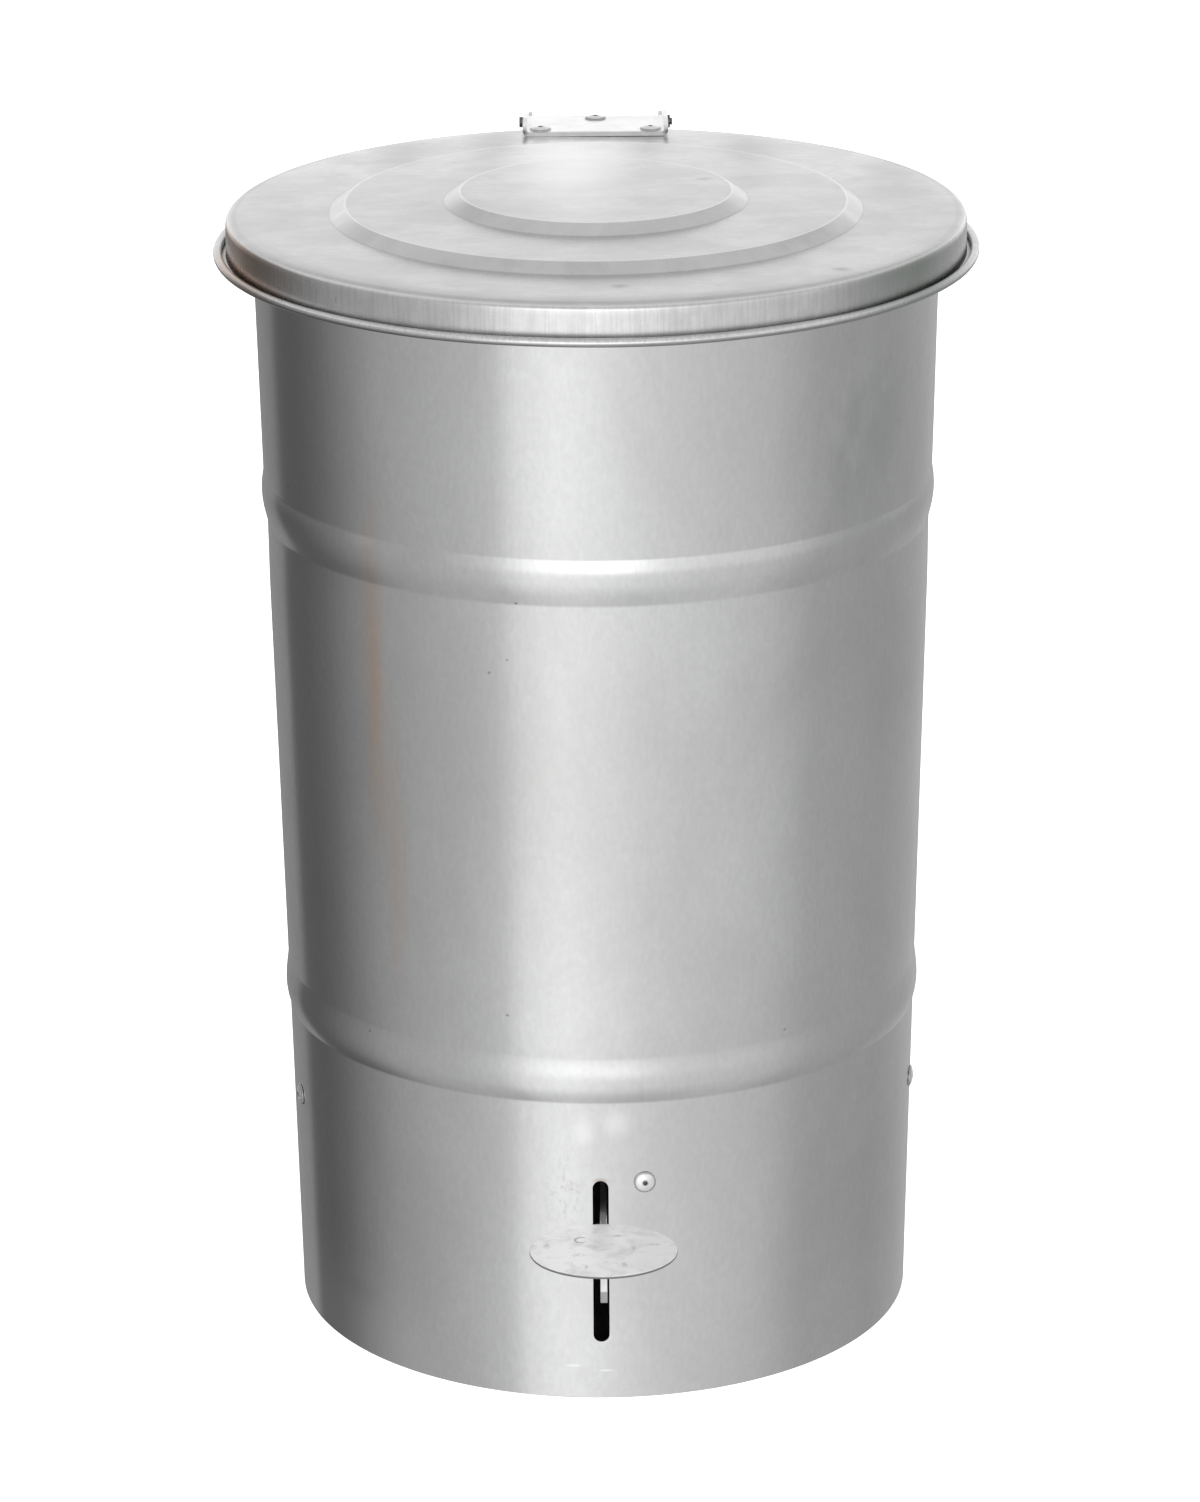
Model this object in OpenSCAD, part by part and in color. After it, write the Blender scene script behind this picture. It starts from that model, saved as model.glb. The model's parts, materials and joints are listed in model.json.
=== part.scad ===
// Galvanized steel pedal bin with a hinged, stepped lid.
// Front is -Y and up is +Z. The origin is the centre of the foot, on the floor.
// A pedal lever runs under the raised floor, and a rod behind the bin lifts the lid.

/* [Body] */
// Height of the body, from the floor to the top of its rolled rim
body_h = 678.7; // [560:1:800]
// Outside radius of the body at the floor
foot_r = 187; // [160:1:230]
// How much the body's radius grows for each unit of height
taper_share = 0.022; // [0:0.001:0.035]
// Thickness of the body, lid and floor sheets
sheet_t = 1.0; // [0.7:0.1:1.6]
// How much wider the body is above its upper swage
collar_step = 0.6; // [0.4:0.1:3]
// Height of the folded hem at the foot
hem_h = 9; // [6:1:20]
// Radius of the wire that the rolled edges wrap
wire_r = 1.5; // [1:0.1:2.5]

/* [Swages] */
// Distance of the upper swage's middle below the top of the rim
upper_swage_drop = 167.7; // [160:0.1:200]
// Height of the lower swage's middle above the floor
lower_swage_z = 205; // [190:1:300]
// Height of each swage, edge to edge
swage_h = 28; // [16:1:36]
// How far each swage stands out
swage_rise = 2; // [1:0.1:5]

/* [Raised floor] */
// Height of the raised floor's top face
floor_z = 158; // [152:1:175]
// Height of the floor pan's skirt
pan_skirt_h = 29; // [24:1:40]
// Bend radius of the floor pan's edge
pan_bend_r = 4; // [2:0.5:8]
// Half the width of the notches that let the lever through the pan's skirt
pan_notch_half_w = 14; // [8:1:18]

/* [Lid] */
// How far the lid's rolled edge stands out past the body's rim
lid_overhang = 18.6; // [15:0.1:24]
// Gap between the rolled edge and the skirt
lid_edge_gap = 2.4; // [1:0.1:4]
// Height of the lid's outer field above the bottom of its rolled edge
lid_skirt_h = 23.2; // [18:0.1:30]
// Radius of the bend between the outer field and the skirt
lid_bend_r = 3.5; // [2:0.1:6]
// Width of the lid's outer field, from its skirt to the lower step
outer_field_w = 60.7; // [52:0.1:75]
// Width from the lower step's outer edge to the upper step's outer edge
middle_field_w = 67.4; // [50:0.1:80]
// Width of each step's slope
step_run = 9.6; // [5:0.1:14]
// Height of each step
step_rise = 5.8; // [2:0.1:10]

/* [Hinge] */
// Distance of the hinge pin behind the lid's rolled edge
hinge_setback = 24.7; // [22:0.1:32]
// Height of the hinge pin above the top of the body's rim
hinge_lift = -4; // [-6:0.1:0]
// Radius of the hinge pin
hinge_pin_r = 2.2; // [2:0.1:3.5]
// Width of the lid bracket over its ears
bracket_w = 90; // [60:1:120]
// Thickness of the brackets
bracket_t = 2.5; // [1.5:0.1:4]
// Inside radius of the bends between the lid bracket's plate and its flanges
flange_bend_r = 1.5; // [0.5:0.1:2]
// Height of the lid bracket's flanges above the lid
flange_h = 6; // [5:0.5:9]
// Length of each flange's level top edge, before it falls towards the pin
flange_l = 24; // [15:1:30]
// Radius of the lid bracket's ears about the pin
ear_r = 7; // [6:0.5:10]
// Radius of the wall bracket's cheeks about the pin
cheek_r = 6.5; // [6:0.5:9]
// Distance of each lid rivet from the nearer end of the lid bracket
lid_rivet_inset = 11; // [10:0.5:14]
// Height of the wall bracket's curved back plate
back_plate_h = 48; // [36:1:70]
// Thickness of the strip that backs the wall bracket inside the body
strip_t = 1.5; // [1:0.1:3]

/* [Pedal and lever] */
// Thickness of the lever bar
lever_t = 4; // [3:0.1:6]
// Height of the lever bar
lever_h = 25; // [20:0.5:30]
// Height of the pedal plate's underside, which is the lever's top edge
lever_top_z = 120; // [112:1:124]
// Distance of the lever's pivot behind the body's axis
pivot_y = 90; // [80:1:100]
// Radius of the lever's pivot pin
pivot_pin_r = 4; // [3:0.1:5]
// Width of the oval pedal plate
pedal_w = 86; // [60:1:120]
// Depth of the oval pedal plate
pedal_d = 75; // [50:1:90]
// Thickness of the pedal plate
pedal_t = 2; // [1.5:0.1:4]
// Gap between the body and the pedal plate's rear edge
pedal_gap = 18; // [8:1:30]
// Width of the slots that the lever passes through
slot_w = 9; // [7:0.5:12]
// Length of the front slot
front_slot_l = 104; // [95:1:108]
// Height of the front slot's lower end above the floor
front_slot_z = 37; // [34:1:39]
// How far the front slot lies to the left of the lever
front_slot_offset = 1.6; // [0:0.1:2]

/* [Push rod] */
// Radius of the push rod
rod_r = 3; // [2:0.1:4]
// Distance of the rod's upper pivot in front of the hinge pin
rod_pin_back = 18; // [16:0.5:20]
// Distance of the rod's upper pivot below the hinge pin
rod_pin_drop = 13.5; // [12:0.5:15]
// How far the rod's shank lies to the left of the lever
rod_offset = 16; // [15:1:24]

/* [Fasteners] */
// Radius of the rivet heads
rivet_head_r = 6.5; // [4.5:0.1:7]
// Height of the rivet heads
rivet_head_h = 2; // [1:0.1:3]
// Radius of the rivet shanks
rivet_shank_r = 2.4; // [1.6:0.1:3]
// Radius of the rivets' closed ends
rivet_tail_r = 3.8; // [3.2:0.1:5]
// Height of the rivets' closed ends
rivet_tail_h = 4; // [2:0.1:6]
// Height of the ring of rivets that holds the floor pan
floor_rivet_z = 140; // [136:1:146]

/* [Fits] */
// Radial clearance of pins in the holes that they turn in
pin_clearance = 0.05; // [0.02:0.01:0.1]
// Radial clearance of rivet shanks and wires in the sheet around them
loose_clearance = 0.1; // [0.05:0.01:0.3]
// Gap between sheets and heads that lie on curved walls
seat_gap = 0.2; // [0.15:0.01:0.4]
// Gap between pieces that move past each other
moving_gap = 0.3; // [0.25:0.05:0.8]
// Clearance at the lever's tail, where the rod is free in its slot
tail_play = 0.8; // [0.7:0.1:1.5]

/* [Hidden] */
$fn = 96;

// Overrun of every cut past the faces that it cuts through
cut = 6;
// Number of straight pieces in each drawn arc
arc_steps = 14;
// Slope of the body's wall
taper_angle = atan(taper_share);

// Rolled edges, and the angles at which their sheets end
curl_mid_r = wire_r + loose_clearance + sheet_t/2;
curl_r = curl_mid_r + sheet_t/2;
rim_curl_end = -100;
lid_curl_end = 190;

// Radius of the body's outside at a height, without the swages
upper_swage_z = body_h - upper_swage_drop;
function plain_r(z) = foot_r + taper_share*z + (z > upper_swage_z ? collar_step : 0);
rim_mid_r = plain_r(body_h) - sheet_t/2 + curl_mid_r;
rim_curl_z = body_h - curl_r;

// Floor pan, and the wall that its skirt follows
pan_play = seat_gap;
pan_r = plain_r(floor_z) - sheet_t - pan_play - sheet_t;
pan_mid_z = floor_z - sheet_t/2;
pan_foot_z = floor_z - pan_skirt_h;
pan_notch_top_z = floor_z - pan_bend_r - 2*sheet_t;
floor_rivet_azimuths = [7.4, 82, -75, 188];

// Lid, which rests over the body's rim
lid_r = rim_mid_r + curl_r + lid_overhang;
lid_field_z = body_h + moving_gap + sheet_t;
lid_foot_z = lid_field_z - lid_skirt_h;
lid_curl_mid_r = lid_r - curl_r;
lid_curl_z = lid_foot_z + curl_r;
lid_skirt_r = lid_curl_mid_r - curl_r - lid_edge_gap;
lower_step_r = lid_skirt_r - outer_field_w;
upper_step_r = lower_step_r - middle_field_w;

// Hinge
hinge_y = lid_r + hinge_setback;
hinge_z = body_h + hinge_lift;
plate_top_z = lid_field_z + bracket_t;
lid_rivet_x = bracket_w/2 - lid_rivet_inset;
lid_rivet_reach = plain_r(body_h) - sheet_t - rivet_tail_r - moving_gap;
lid_rivet_y = sqrt(pow(lid_rivet_reach, 2) - pow(lid_rivet_x, 2));
plate_y0 = lid_rivet_y - rivet_head_r - sheet_t;
plate_y1 = lid_r + ear_r + hinge_pin_r/2;
ear_in = bracket_w/2 - bracket_t;
flange_bend_mid_r = flange_bend_r + bracket_t/2;
cheek_out = ear_in - moving_gap - seat_gap;
cheek_in = cheek_out - bracket_t;
neck_z = lid_foot_z - ear_r - 2*cheek_r;
back_plate_z = neck_z - back_plate_h;
base_wall_r = plain_r(neck_z) + seat_gap;
cheek_seat_y = sqrt(pow(base_wall_r, 2) - pow(cheek_in, 2)) + moving_gap;
base_rivet_azimuth = 6.5;
base_rivet_inset = rivet_head_r + bracket_t;
hinge_head_r = hinge_pin_r*1.5;
hinge_head_t = bracket_t;

// Push rod and lift tab
rod_pin_y = hinge_y - rod_pin_back;
rod_pin_z = hinge_z - rod_pin_drop;
rod_bend_r = 2*rod_r;
clip_t = 1.5;
clip_r = 2*rod_r;
tab_x0 = -rod_offset + rod_bend_r + clip_t;
tab_y0 = lid_r + sheet_t;
tab_y1 = rod_pin_y + rod_r + bracket_t;
tab_rivet_y = lid_skirt_r + rivet_head_r;

// Lever: the bar's middle line, its reach under the pedal plate, and the slot at its tail
lever_z = lever_top_z - lever_h/2;
lever_under_share = 0.87;
lever_front_y = -plain_r(lever_top_z) - pedal_gap - pedal_d*lever_under_share;
pedal_y = -plain_r(lever_top_z) - pedal_gap - pedal_d/2;
tail_drift_share = 0.2;
tail_slot_l = 2*(rod_r + rod_pin_back*tail_drift_share + moving_gap);
tail_slot_shift = -moving_gap;
tail_slot_r = rod_r + tail_play;
tail_end_r = lever_h/2;
rear_slot_z = lever_z - lever_h/2 - slot_w/2;
rear_slot_top_z = lever_top_z + rod_pin_back + slot_w/2;

// Pivot bracket under the floor
pivot_cheek_in = 17.5;
pivot_cheek_out = pivot_cheek_in + bracket_t;
pivot_cheek_r = lever_h/2;
pivot_web_l = 70;
pivot_web_z = floor_z - sheet_t - bracket_t;
pivot_rivet_x = pivot_cheek_in/2;
pivot_rivet_y = pivot_web_l/2 - rivet_head_r - bracket_t;
pivot_head_r = pivot_pin_r*1.75;
pivot_head_t = bracket_t;
pivot_pin_tail = 2*bracket_t;
spacer_r = pivot_pin_r*1.75;

// Points on an arc in the plane of a profile
function arc_points(c, r, a0, a1) =
    [for (i = [0:arc_steps]) let (a = a0 + (a1 - a0)*i/arc_steps) [c[0] + r*cos(a), c[1] + r*sin(a)]];

// Unit direction from one point to the next
function unit(v) = v/norm(v);

// Normal of a path at one of its points, long enough to keep the sheet's thickness in a bend
function path_normal(path, i) =
    let (
        last = len(path) - 1,
        before = unit(path[max(i, 1)] - path[max(i, 1) - 1]),
        after = unit(path[min(i, last - 1) + 1] - path[min(i, last - 1)]),
        mean = unit(before + after)
    )
    [-mean[1], mean[0]]/(mean*before);

// Outline of a sheet of even thickness along a path
function sheet_outline(path, t) = concat(
    [for (i = [0:len(path) - 1]) path[i] + path_normal(path, i)*t/2],
    [for (i = [len(path) - 1:-1:0]) path[i] - path_normal(path, i)*t/2]
);

// How far the wall stands out at a height because of a swage
function swage_at(z, mid) = abs(z - mid) < swage_h/2 ? swage_rise*cos(180*(z - mid)/swage_h) : 0;

// Middle line of the body's sheet across one swage
function swage_path(mid) = [
    for (i = [0:arc_steps])
        let (z = mid - swage_h/2 + swage_h*i/arc_steps)
        [plain_r(z) - sheet_t/2 + swage_at(z, mid), z]
];

// Middle line of the body's sheet, from the foot up and over the rim wire
body_path = concat(
    [[plain_r(0) - sheet_t/2, 0]],
    swage_path(lower_swage_z),
    swage_path(upper_swage_z),
    arc_points([rim_mid_r, rim_curl_z], curl_mid_r, 180, rim_curl_end)
);

// Outline of the body's sheet, with a flat foot and its hem folded up inside
body_sheet = sheet_outline(body_path, sheet_t);
hem_r = foot_r - 2*sheet_t;
body_outline = concat(
    [[hem_r, 0], [hem_r, hem_h], [plain_r(hem_h) - sheet_t, hem_h]],
    [for (i = [1:len(body_sheet) - 2]) body_sheet[i]],
    [[foot_r, 0]]
);

// Middle line of one step of the lid, an S-shaped slope that falls outwards
function step_path(r, z) = [
    for (i = [0:arc_steps])
        let (u = i/arc_steps)
        [r - step_run*(1 - u), z + step_rise*(1 + cos(180*u))/2 - sheet_t/2]
];

// Middle line of the lid's sheet, from the centre out and around the edge wire
lid_path = concat(
    [[0, lid_field_z + 2*step_rise - sheet_t/2]],
    step_path(upper_step_r, lid_field_z + step_rise),
    step_path(lower_step_r, lid_field_z),
    arc_points(
        [lid_skirt_r - sheet_t/2 - lid_bend_r, lid_field_z - sheet_t/2 - lid_bend_r], lid_bend_r, 90, 0
    ),
    arc_points(
        [lid_skirt_r + sheet_t/2, lid_foot_z + sheet_t*3/2], sheet_t, 180, 270
    ),
    arc_points([lid_curl_mid_r, lid_curl_z], curl_mid_r, -90, lid_curl_end)
);

// Middle line of the lid bracket's strip, seen from the front: flange, bend, plate, bend, flange
function flange_bend(side, a0, a1) =
    arc_points([side*(ear_in - flange_bend_r), bracket_t + flange_bend_r], flange_bend_mid_r, a0, a1);
bracket_path = concat(
    [[-bracket_w/2 + bracket_t/2, flange_h]],
    flange_bend(-1, 180, 270),
    flange_bend(1, 270, 360),
    [[bracket_w/2 - bracket_t/2, flange_h]]
);

// Middle line of the floor pan's sheet, flat and then down along the wall
pan_path = concat(
    [[0, pan_mid_z]],
    arc_points([pan_r + sheet_t/2 - pan_bend_r, pan_mid_z - pan_bend_r], pan_bend_r, 90, 0),
    [[plain_r(pan_foot_z) - sheet_t*3/2 - pan_play, pan_foot_z]]
);

// A revolved sheet along a path
module spun_sheet(path) {
    rotate_extrude()
        polygon(sheet_outline(path, sheet_t));
}

// Puts something on the wall, its +Z axis pointing straight out of the wall
module on_wall(azimuth, z) {
    rotate([0, 0, azimuth])
        translate([0, -plain_r(z), z])
            rotate([90 + taper_angle, 0, 0])
                children();
}

// A pin, bore or ring along X
module rod_x(x0, x1, y, z, r) {
    translate([x0, y, z])
        rotate([0, 90, 0])
            cylinder(h = x1 - x0, r = r);
}

// A flat plate in the YZ plane, from a drawing of Y and Z
module side_plate(x0, t) {
    translate([x0, 0, 0])
        rotate([90, 0, 90])
            linear_extrude(height = t)
                children();
}

// A blind rivet along Z: domed head above 0, sheets of total thickness grip below it
module rivet(grip) {
    mandrel_r = rivet_shank_r*0.45;
    dome = [
        for (i = [0:arc_steps/2])
            let (u = i/(arc_steps/2), r = mandrel_r + (rivet_head_r - mandrel_r)*u)
            [r, seat_gap + rivet_head_h*(0.25 + 0.75*(1 - u*u))]
    ];
    rotate_extrude()
        polygon(concat(
            [[0, seat_gap + rivet_head_h/2], [mandrel_r, seat_gap + rivet_head_h/2]],
            dome,
            [
                [rivet_head_r, seat_gap],
                [rivet_shank_r, seat_gap],
                [rivet_shank_r, -grip - seat_gap],
                [rivet_tail_r, -grip - seat_gap],
                [rivet_tail_r, -grip - seat_gap - rivet_tail_h/2],
                [rivet_shank_r, -grip - seat_gap - rivet_tail_h],
                [0, -grip - seat_gap - rivet_tail_h]
            ]
        ));
}

// The hole that a rivet needs, along Z and through everything near 0
module rivet_hole() {
    translate([0, 0, -2*cut])
        cylinder(h = 4*cut, r = rivet_shank_r + loose_clearance);
}

// An upright slot with round ends, cut along Y through one wall
module wall_slot(x, y, z0, z1) {
    for (z = [z0 + slot_w/2, z1 - slot_w/2])
        translate([x, y + 4*cut, z])
            rotate([90, 0, 0])
                cylinder(h = 8*cut, r = slot_w/2);
    translate([x - slot_w/2, y - 4*cut, z0 + slot_w/2])
        cube([slot_w, 8*cut, z1 - z0 - slot_w]);
}

// Places of the rivets that hold the wall bracket of the hinge
module at_base_rivets() {
    for (side = [-1, 1])
        for (z = [back_plate_z + base_rivet_inset, neck_z - base_rivet_inset])
            on_wall(180 + side*base_rivet_azimuth, z)
                children();
}

// Places of the rivets that hold the pivot bracket under the floor
module at_pivot_rivets() {
    for (side = [-1, 1])
        for (end = [-1, 1])
            translate([side*pivot_rivet_x, pivot_y + end*pivot_rivet_y, floor_z])
                children();
}

module body_shell() {
    color("silver")
        difference() {
            rotate_extrude()
                polygon(body_outline);
            wall_slot(
                -front_slot_offset, -plain_r(front_slot_z), front_slot_z, front_slot_z + front_slot_l
            );
            wall_slot(0, plain_r(lever_z), rear_slot_z, rear_slot_top_z);
            for (azimuth = floor_rivet_azimuths)
                on_wall(azimuth, floor_rivet_z)
                    rivet_hole();
            at_base_rivets()
                rivet_hole();
        }
}

module body_rim_wire() {
    color("gray")
        rotate_extrude()
            translate([rim_mid_r, rim_curl_z])
                circle(r = wire_r);
}

module floor_pan() {
    color("silver")
        difference() {
            spun_sheet(pan_path);
            for (azimuth = floor_rivet_azimuths)
                on_wall(azimuth, floor_rivet_z)
                    rivet_hole();
            for (end = [-1, 1])
                translate([-pan_notch_half_w, end*pan_r - 2*cut, pan_foot_z - cut])
                    cube([2*pan_notch_half_w, 4*cut, pan_notch_top_z - pan_foot_z + cut]);
            at_pivot_rivets()
                rivet_hole();
        }
}

module floor_rivets() {
    color("gainsboro")
        for (azimuth = floor_rivet_azimuths)
            on_wall(azimuth, floor_rivet_z)
                rivet(2*sheet_t + pan_play);
}

module pivot_bracket() {
    color("darkgray")
        difference() {
            union() {
                translate([-pivot_cheek_out, pivot_y - pivot_web_l/2, pivot_web_z])
                    cube([2*pivot_cheek_out, pivot_web_l, bracket_t]);
                for (x = [-pivot_cheek_out, pivot_cheek_in])
                    side_plate(x, bracket_t) {
                        translate([pivot_y, lever_z])
                            circle(r = pivot_cheek_r);
                        polygon([
                            [pivot_y - pivot_cheek_r, lever_z],
                            [pivot_y + pivot_cheek_r, lever_z],
                            [pivot_y + pivot_web_l/2, pivot_web_z + bracket_t/2],
                            [pivot_y - pivot_web_l/2, pivot_web_z + bracket_t/2]
                        ]);
                    }
            }
            rod_x(-pivot_cheek_out - cut, pivot_cheek_out + cut, pivot_y, lever_z, pivot_pin_r + pin_clearance);
            at_pivot_rivets()
                rivet_hole();
        }
}

module pivot_bracket_rivets() {
    color("gainsboro")
        at_pivot_rivets()
            rivet(sheet_t + bracket_t);
}

module pivot_pin() {
    color("slategray") {
        rod_x(-pivot_cheek_out - seat_gap - pivot_head_t/2, pivot_cheek_out + pivot_pin_tail,
            pivot_y, lever_z, pivot_pin_r);
        rod_x(-pivot_cheek_out - seat_gap - pivot_head_t, -pivot_cheek_out - seat_gap,
            pivot_y, lever_z, pivot_head_r);
    }
}

module pivot_spacers() {
    color("dimgray")
        for (x0 = [-pivot_cheek_in + seat_gap, lever_t/2 + moving_gap])
            difference() {
                rod_x(x0, x0 + pivot_cheek_in - lever_t/2 - moving_gap - seat_gap, pivot_y, lever_z, spacer_r);
                rod_x(x0 - cut, x0 + pivot_cheek_in + cut, pivot_y, lever_z, pivot_pin_r + pin_clearance);
            }
}

module pivot_pin_clip() {
    x0 = pivot_cheek_out + seat_gap;
    color("dimgray")
        difference() {
            rod_x(x0, x0 + clip_t, pivot_y, lever_z, spacer_r);
            rod_x(x0 - cut, x0 + clip_t + cut, pivot_y, lever_z, pivot_pin_r + pin_clearance);
        }
}

module hinge_base() {
    color("darkgray")
        difference() {
            union() {
                intersection() {
                    rotate_extrude()
                        polygon([
                            [plain_r(back_plate_z) + seat_gap, back_plate_z],
                            [plain_r(back_plate_z) + seat_gap + bracket_t, back_plate_z],
                            [base_wall_r + bracket_t, neck_z],
                            [base_wall_r, neck_z]
                        ]);
                    translate([-cheek_out, 0, back_plate_z - cut])
                        cube([2*cheek_out, 2*foot_r, back_plate_h + 2*cut]);
                }
                for (x = [-cheek_out, cheek_in])
                    side_plate(x, bracket_t) {
                        translate([hinge_y, hinge_z])
                            circle(r = cheek_r);
                        polygon([
                            [cheek_seat_y, back_plate_z],
                            [cheek_seat_y, neck_z],
                            [lid_r + bracket_t, neck_z],
                            [hinge_y - cheek_r, hinge_z],
                            [hinge_y + cheek_r, hinge_z],
                            [hinge_y + cheek_r/2, lid_foot_z - cheek_r],
                            [cheek_seat_y + 2*cheek_r, back_plate_z + cheek_r],
                            [cheek_seat_y + cheek_r, back_plate_z]
                        ]);
                    }
            }
            rod_x(-cheek_out - cut, cheek_out + cut, hinge_y, hinge_z, hinge_pin_r + pin_clearance);
            at_base_rivets()
                rivet_hole();
        }
}

module hinge_backing_strip() {
    color("silver")
        difference() {
            intersection() {
                rotate_extrude()
                    polygon([
                        [plain_r(back_plate_z) - sheet_t - seat_gap - strip_t, back_plate_z],
                        [plain_r(back_plate_z) - sheet_t - seat_gap, back_plate_z],
                        [plain_r(neck_z) - sheet_t - seat_gap, neck_z],
                        [plain_r(neck_z) - sheet_t - seat_gap - strip_t, neck_z]
                    ]);
                translate([-cheek_out, 0, back_plate_z - cut])
                    cube([2*cheek_out, 2*foot_r, back_plate_h + 2*cut]);
            }
            at_base_rivets()
                rivet_hole();
        }
}

module hinge_base_rivets() {
    color("gainsboro")
        at_base_rivets()
            translate([0, 0, seat_gap + bracket_t])
                rivet(bracket_t + sheet_t + strip_t + 2*seat_gap);
}

module hinge_pin() {
    color("slategray") {
        rod_x(-bracket_w/2 - seat_gap - hinge_head_t/2, bracket_w/2 + seat_gap + 2*clip_t,
            hinge_y, hinge_z, hinge_pin_r);
        rod_x(-bracket_w/2 - moving_gap - hinge_head_t, -bracket_w/2 - moving_gap,
            hinge_y, hinge_z, hinge_head_r);
    }
}

module hinge_pin_clip() {
    x0 = bracket_w/2 + moving_gap;
    color("dimgray")
        difference() {
            rod_x(x0, x0 + clip_t, hinge_y, hinge_z, hinge_head_r + clip_t/2);
            rod_x(x0 - cut, x0 + clip_t + cut, hinge_y, hinge_z, hinge_pin_r + pin_clearance);
        }
}

module lid() {
    color("silver")
        difference() {
            spun_sheet(lid_path);
            for (side = [-1, 1])
                translate([side*lid_rivet_x, lid_rivet_y, lid_field_z])
                    rivet_hole();
        }
}

module lid_edge_wire() {
    color("gray")
        rotate_extrude()
            translate([lid_curl_mid_r, lid_curl_z])
                circle(r = wire_r);
}

module lid_bracket() {
    flange_top_z = lid_field_z + flange_h;
    color("darkgray")
        difference() {
            union() {
                intersection() {
                    translate([0, plate_y1, lid_field_z])
                        rotate([90, 0, 0])
                            linear_extrude(height = plate_y1 - plate_y0)
                                polygon(sheet_outline(bracket_path, bracket_t));
                    side_plate(-bracket_w/2 - cut, bracket_w + 2*cut)
                        polygon([
                            [plate_y0, lid_field_z],
                            [plate_y0, lid_field_z + bracket_t],
                            [plate_y0 + flange_h/2, flange_top_z],
                            [plate_y0 + flange_l, flange_top_z],
                            [plate_y1, lid_field_z + bracket_t],
                            [plate_y1, lid_field_z]
                        ]);
                }
                for (x = [-bracket_w/2, ear_in])
                    side_plate(x, bracket_t) {
                        translate([hinge_y, hinge_z])
                            circle(r = ear_r);
                        polygon([
                            [lid_r + bracket_t, lid_field_z],
                            [lid_r + bracket_t, lid_field_z + bracket_t],
                            [hinge_y, hinge_z + ear_r],
                            [hinge_y, hinge_z - ear_r]
                        ]);
                    }
            }
            rod_x(-bracket_w/2 - cut, bracket_w/2 + cut, hinge_y, hinge_z, hinge_pin_r + pin_clearance);
            for (side = [-1, 1])
                translate([side*lid_rivet_x, lid_rivet_y, lid_field_z])
                    rivet_hole();
            translate([0, tab_rivet_y, lid_field_z])
                rivet_hole();
        }
}

module lid_bracket_rivets() {
    color("gainsboro")
        for (side = [-1, 1])
            translate([side*lid_rivet_x, lid_rivet_y, plate_top_z])
                rivet(bracket_t + sheet_t);
}

module lift_tab() {
    color("darkgray")
        difference() {
            union() {
                translate([tab_x0, lid_skirt_r + sheet_t, lid_field_z - bracket_t])
                    cube([2*rivet_head_r - tab_x0, tab_y1 - lid_skirt_r - sheet_t, bracket_t]);
                side_plate(tab_x0, bracket_t) {
                    translate([tab_y0, rod_pin_z])
                        square([tab_y1 - tab_y0, lid_field_z - bracket_t/2 - rod_pin_z]);
                    translate([(tab_y0 + tab_y1)/2, rod_pin_z])
                        circle(r = (tab_y1 - tab_y0)/2);
                }
            }
            rod_x(tab_x0 - cut, tab_x0 + cut, rod_pin_y, rod_pin_z, rod_r + pin_clearance);
            translate([0, tab_rivet_y, lid_field_z])
                rivet_hole();
        }
}

module lift_tab_rivet() {
    color("gainsboro")
        translate([0, tab_rivet_y, plate_top_z])
            rivet(2*bracket_t);
}

module pedal_lever() {
    color("silver")
        difference() {
            side_plate(-lever_t/2, lever_t) {
                polygon([
                    [lever_front_y, lever_top_z],
                    [lever_front_y, lever_top_z - lever_h/2],
                    [lever_front_y + lever_h/2, lever_top_z - lever_h],
                    [rod_pin_y, lever_top_z - lever_h],
                    [rod_pin_y, lever_top_z]
                ]);
                translate([rod_pin_y, lever_z])
                    circle(r = tail_end_r);
            }
            rod_x(-lever_t/2 - cut, lever_t/2 + cut, pivot_y, lever_z, pivot_pin_r + pin_clearance);
            for (end = [-1, 1])
                rod_x(-lever_t/2 - cut, lever_t/2 + cut,
                    rod_pin_y + tail_slot_shift + end*(tail_slot_l/2 - rod_r), lever_z, tail_slot_r);
            translate([-lever_t/2 - cut, rod_pin_y + tail_slot_shift - tail_slot_l/2 + rod_r,
                lever_z - tail_slot_r])
                cube([lever_t + 2*cut, tail_slot_l - 2*rod_r, 2*tail_slot_r]);
        }
}

module pedal_plate() {
    color("gainsboro")
        translate([0, pedal_y, lever_top_z])
            linear_extrude(height = pedal_t)
                polygon([for (a = [0:5:355]) [pedal_w/2*cos(a), pedal_d/2*sin(a)]]);
}

module push_rod() {
    color("lightsteelblue") {
        translate([-rod_offset, rod_pin_y, lever_z + rod_bend_r])
            cylinder(h = rod_pin_z - lever_z - 2*rod_bend_r, r = rod_r);
        translate([-rod_offset + rod_bend_r, rod_pin_y, rod_pin_z - rod_bend_r])
            rotate([90, 0, 0])
                rotate([0, 0, 90])
                    rotate_extrude(angle = 90)
                        translate([rod_bend_r, 0])
                            circle(r = rod_r);
        translate([-rod_offset + rod_bend_r, rod_pin_y, lever_z + rod_bend_r])
            rotate([90, 0, 0])
                rotate([0, 0, 180])
                    rotate_extrude(angle = 90)
                        translate([rod_bend_r, 0])
                            circle(r = rod_r);
        rod_x(-rod_offset + rod_bend_r, tab_x0 + bracket_t + seat_gap + 2*clip_t, rod_pin_y, rod_pin_z, rod_r);
        rod_x(-rod_offset + rod_bend_r, lever_t/2 + moving_gap + 2*clip_t, rod_pin_y, lever_z, rod_r);
    }
}

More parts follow.
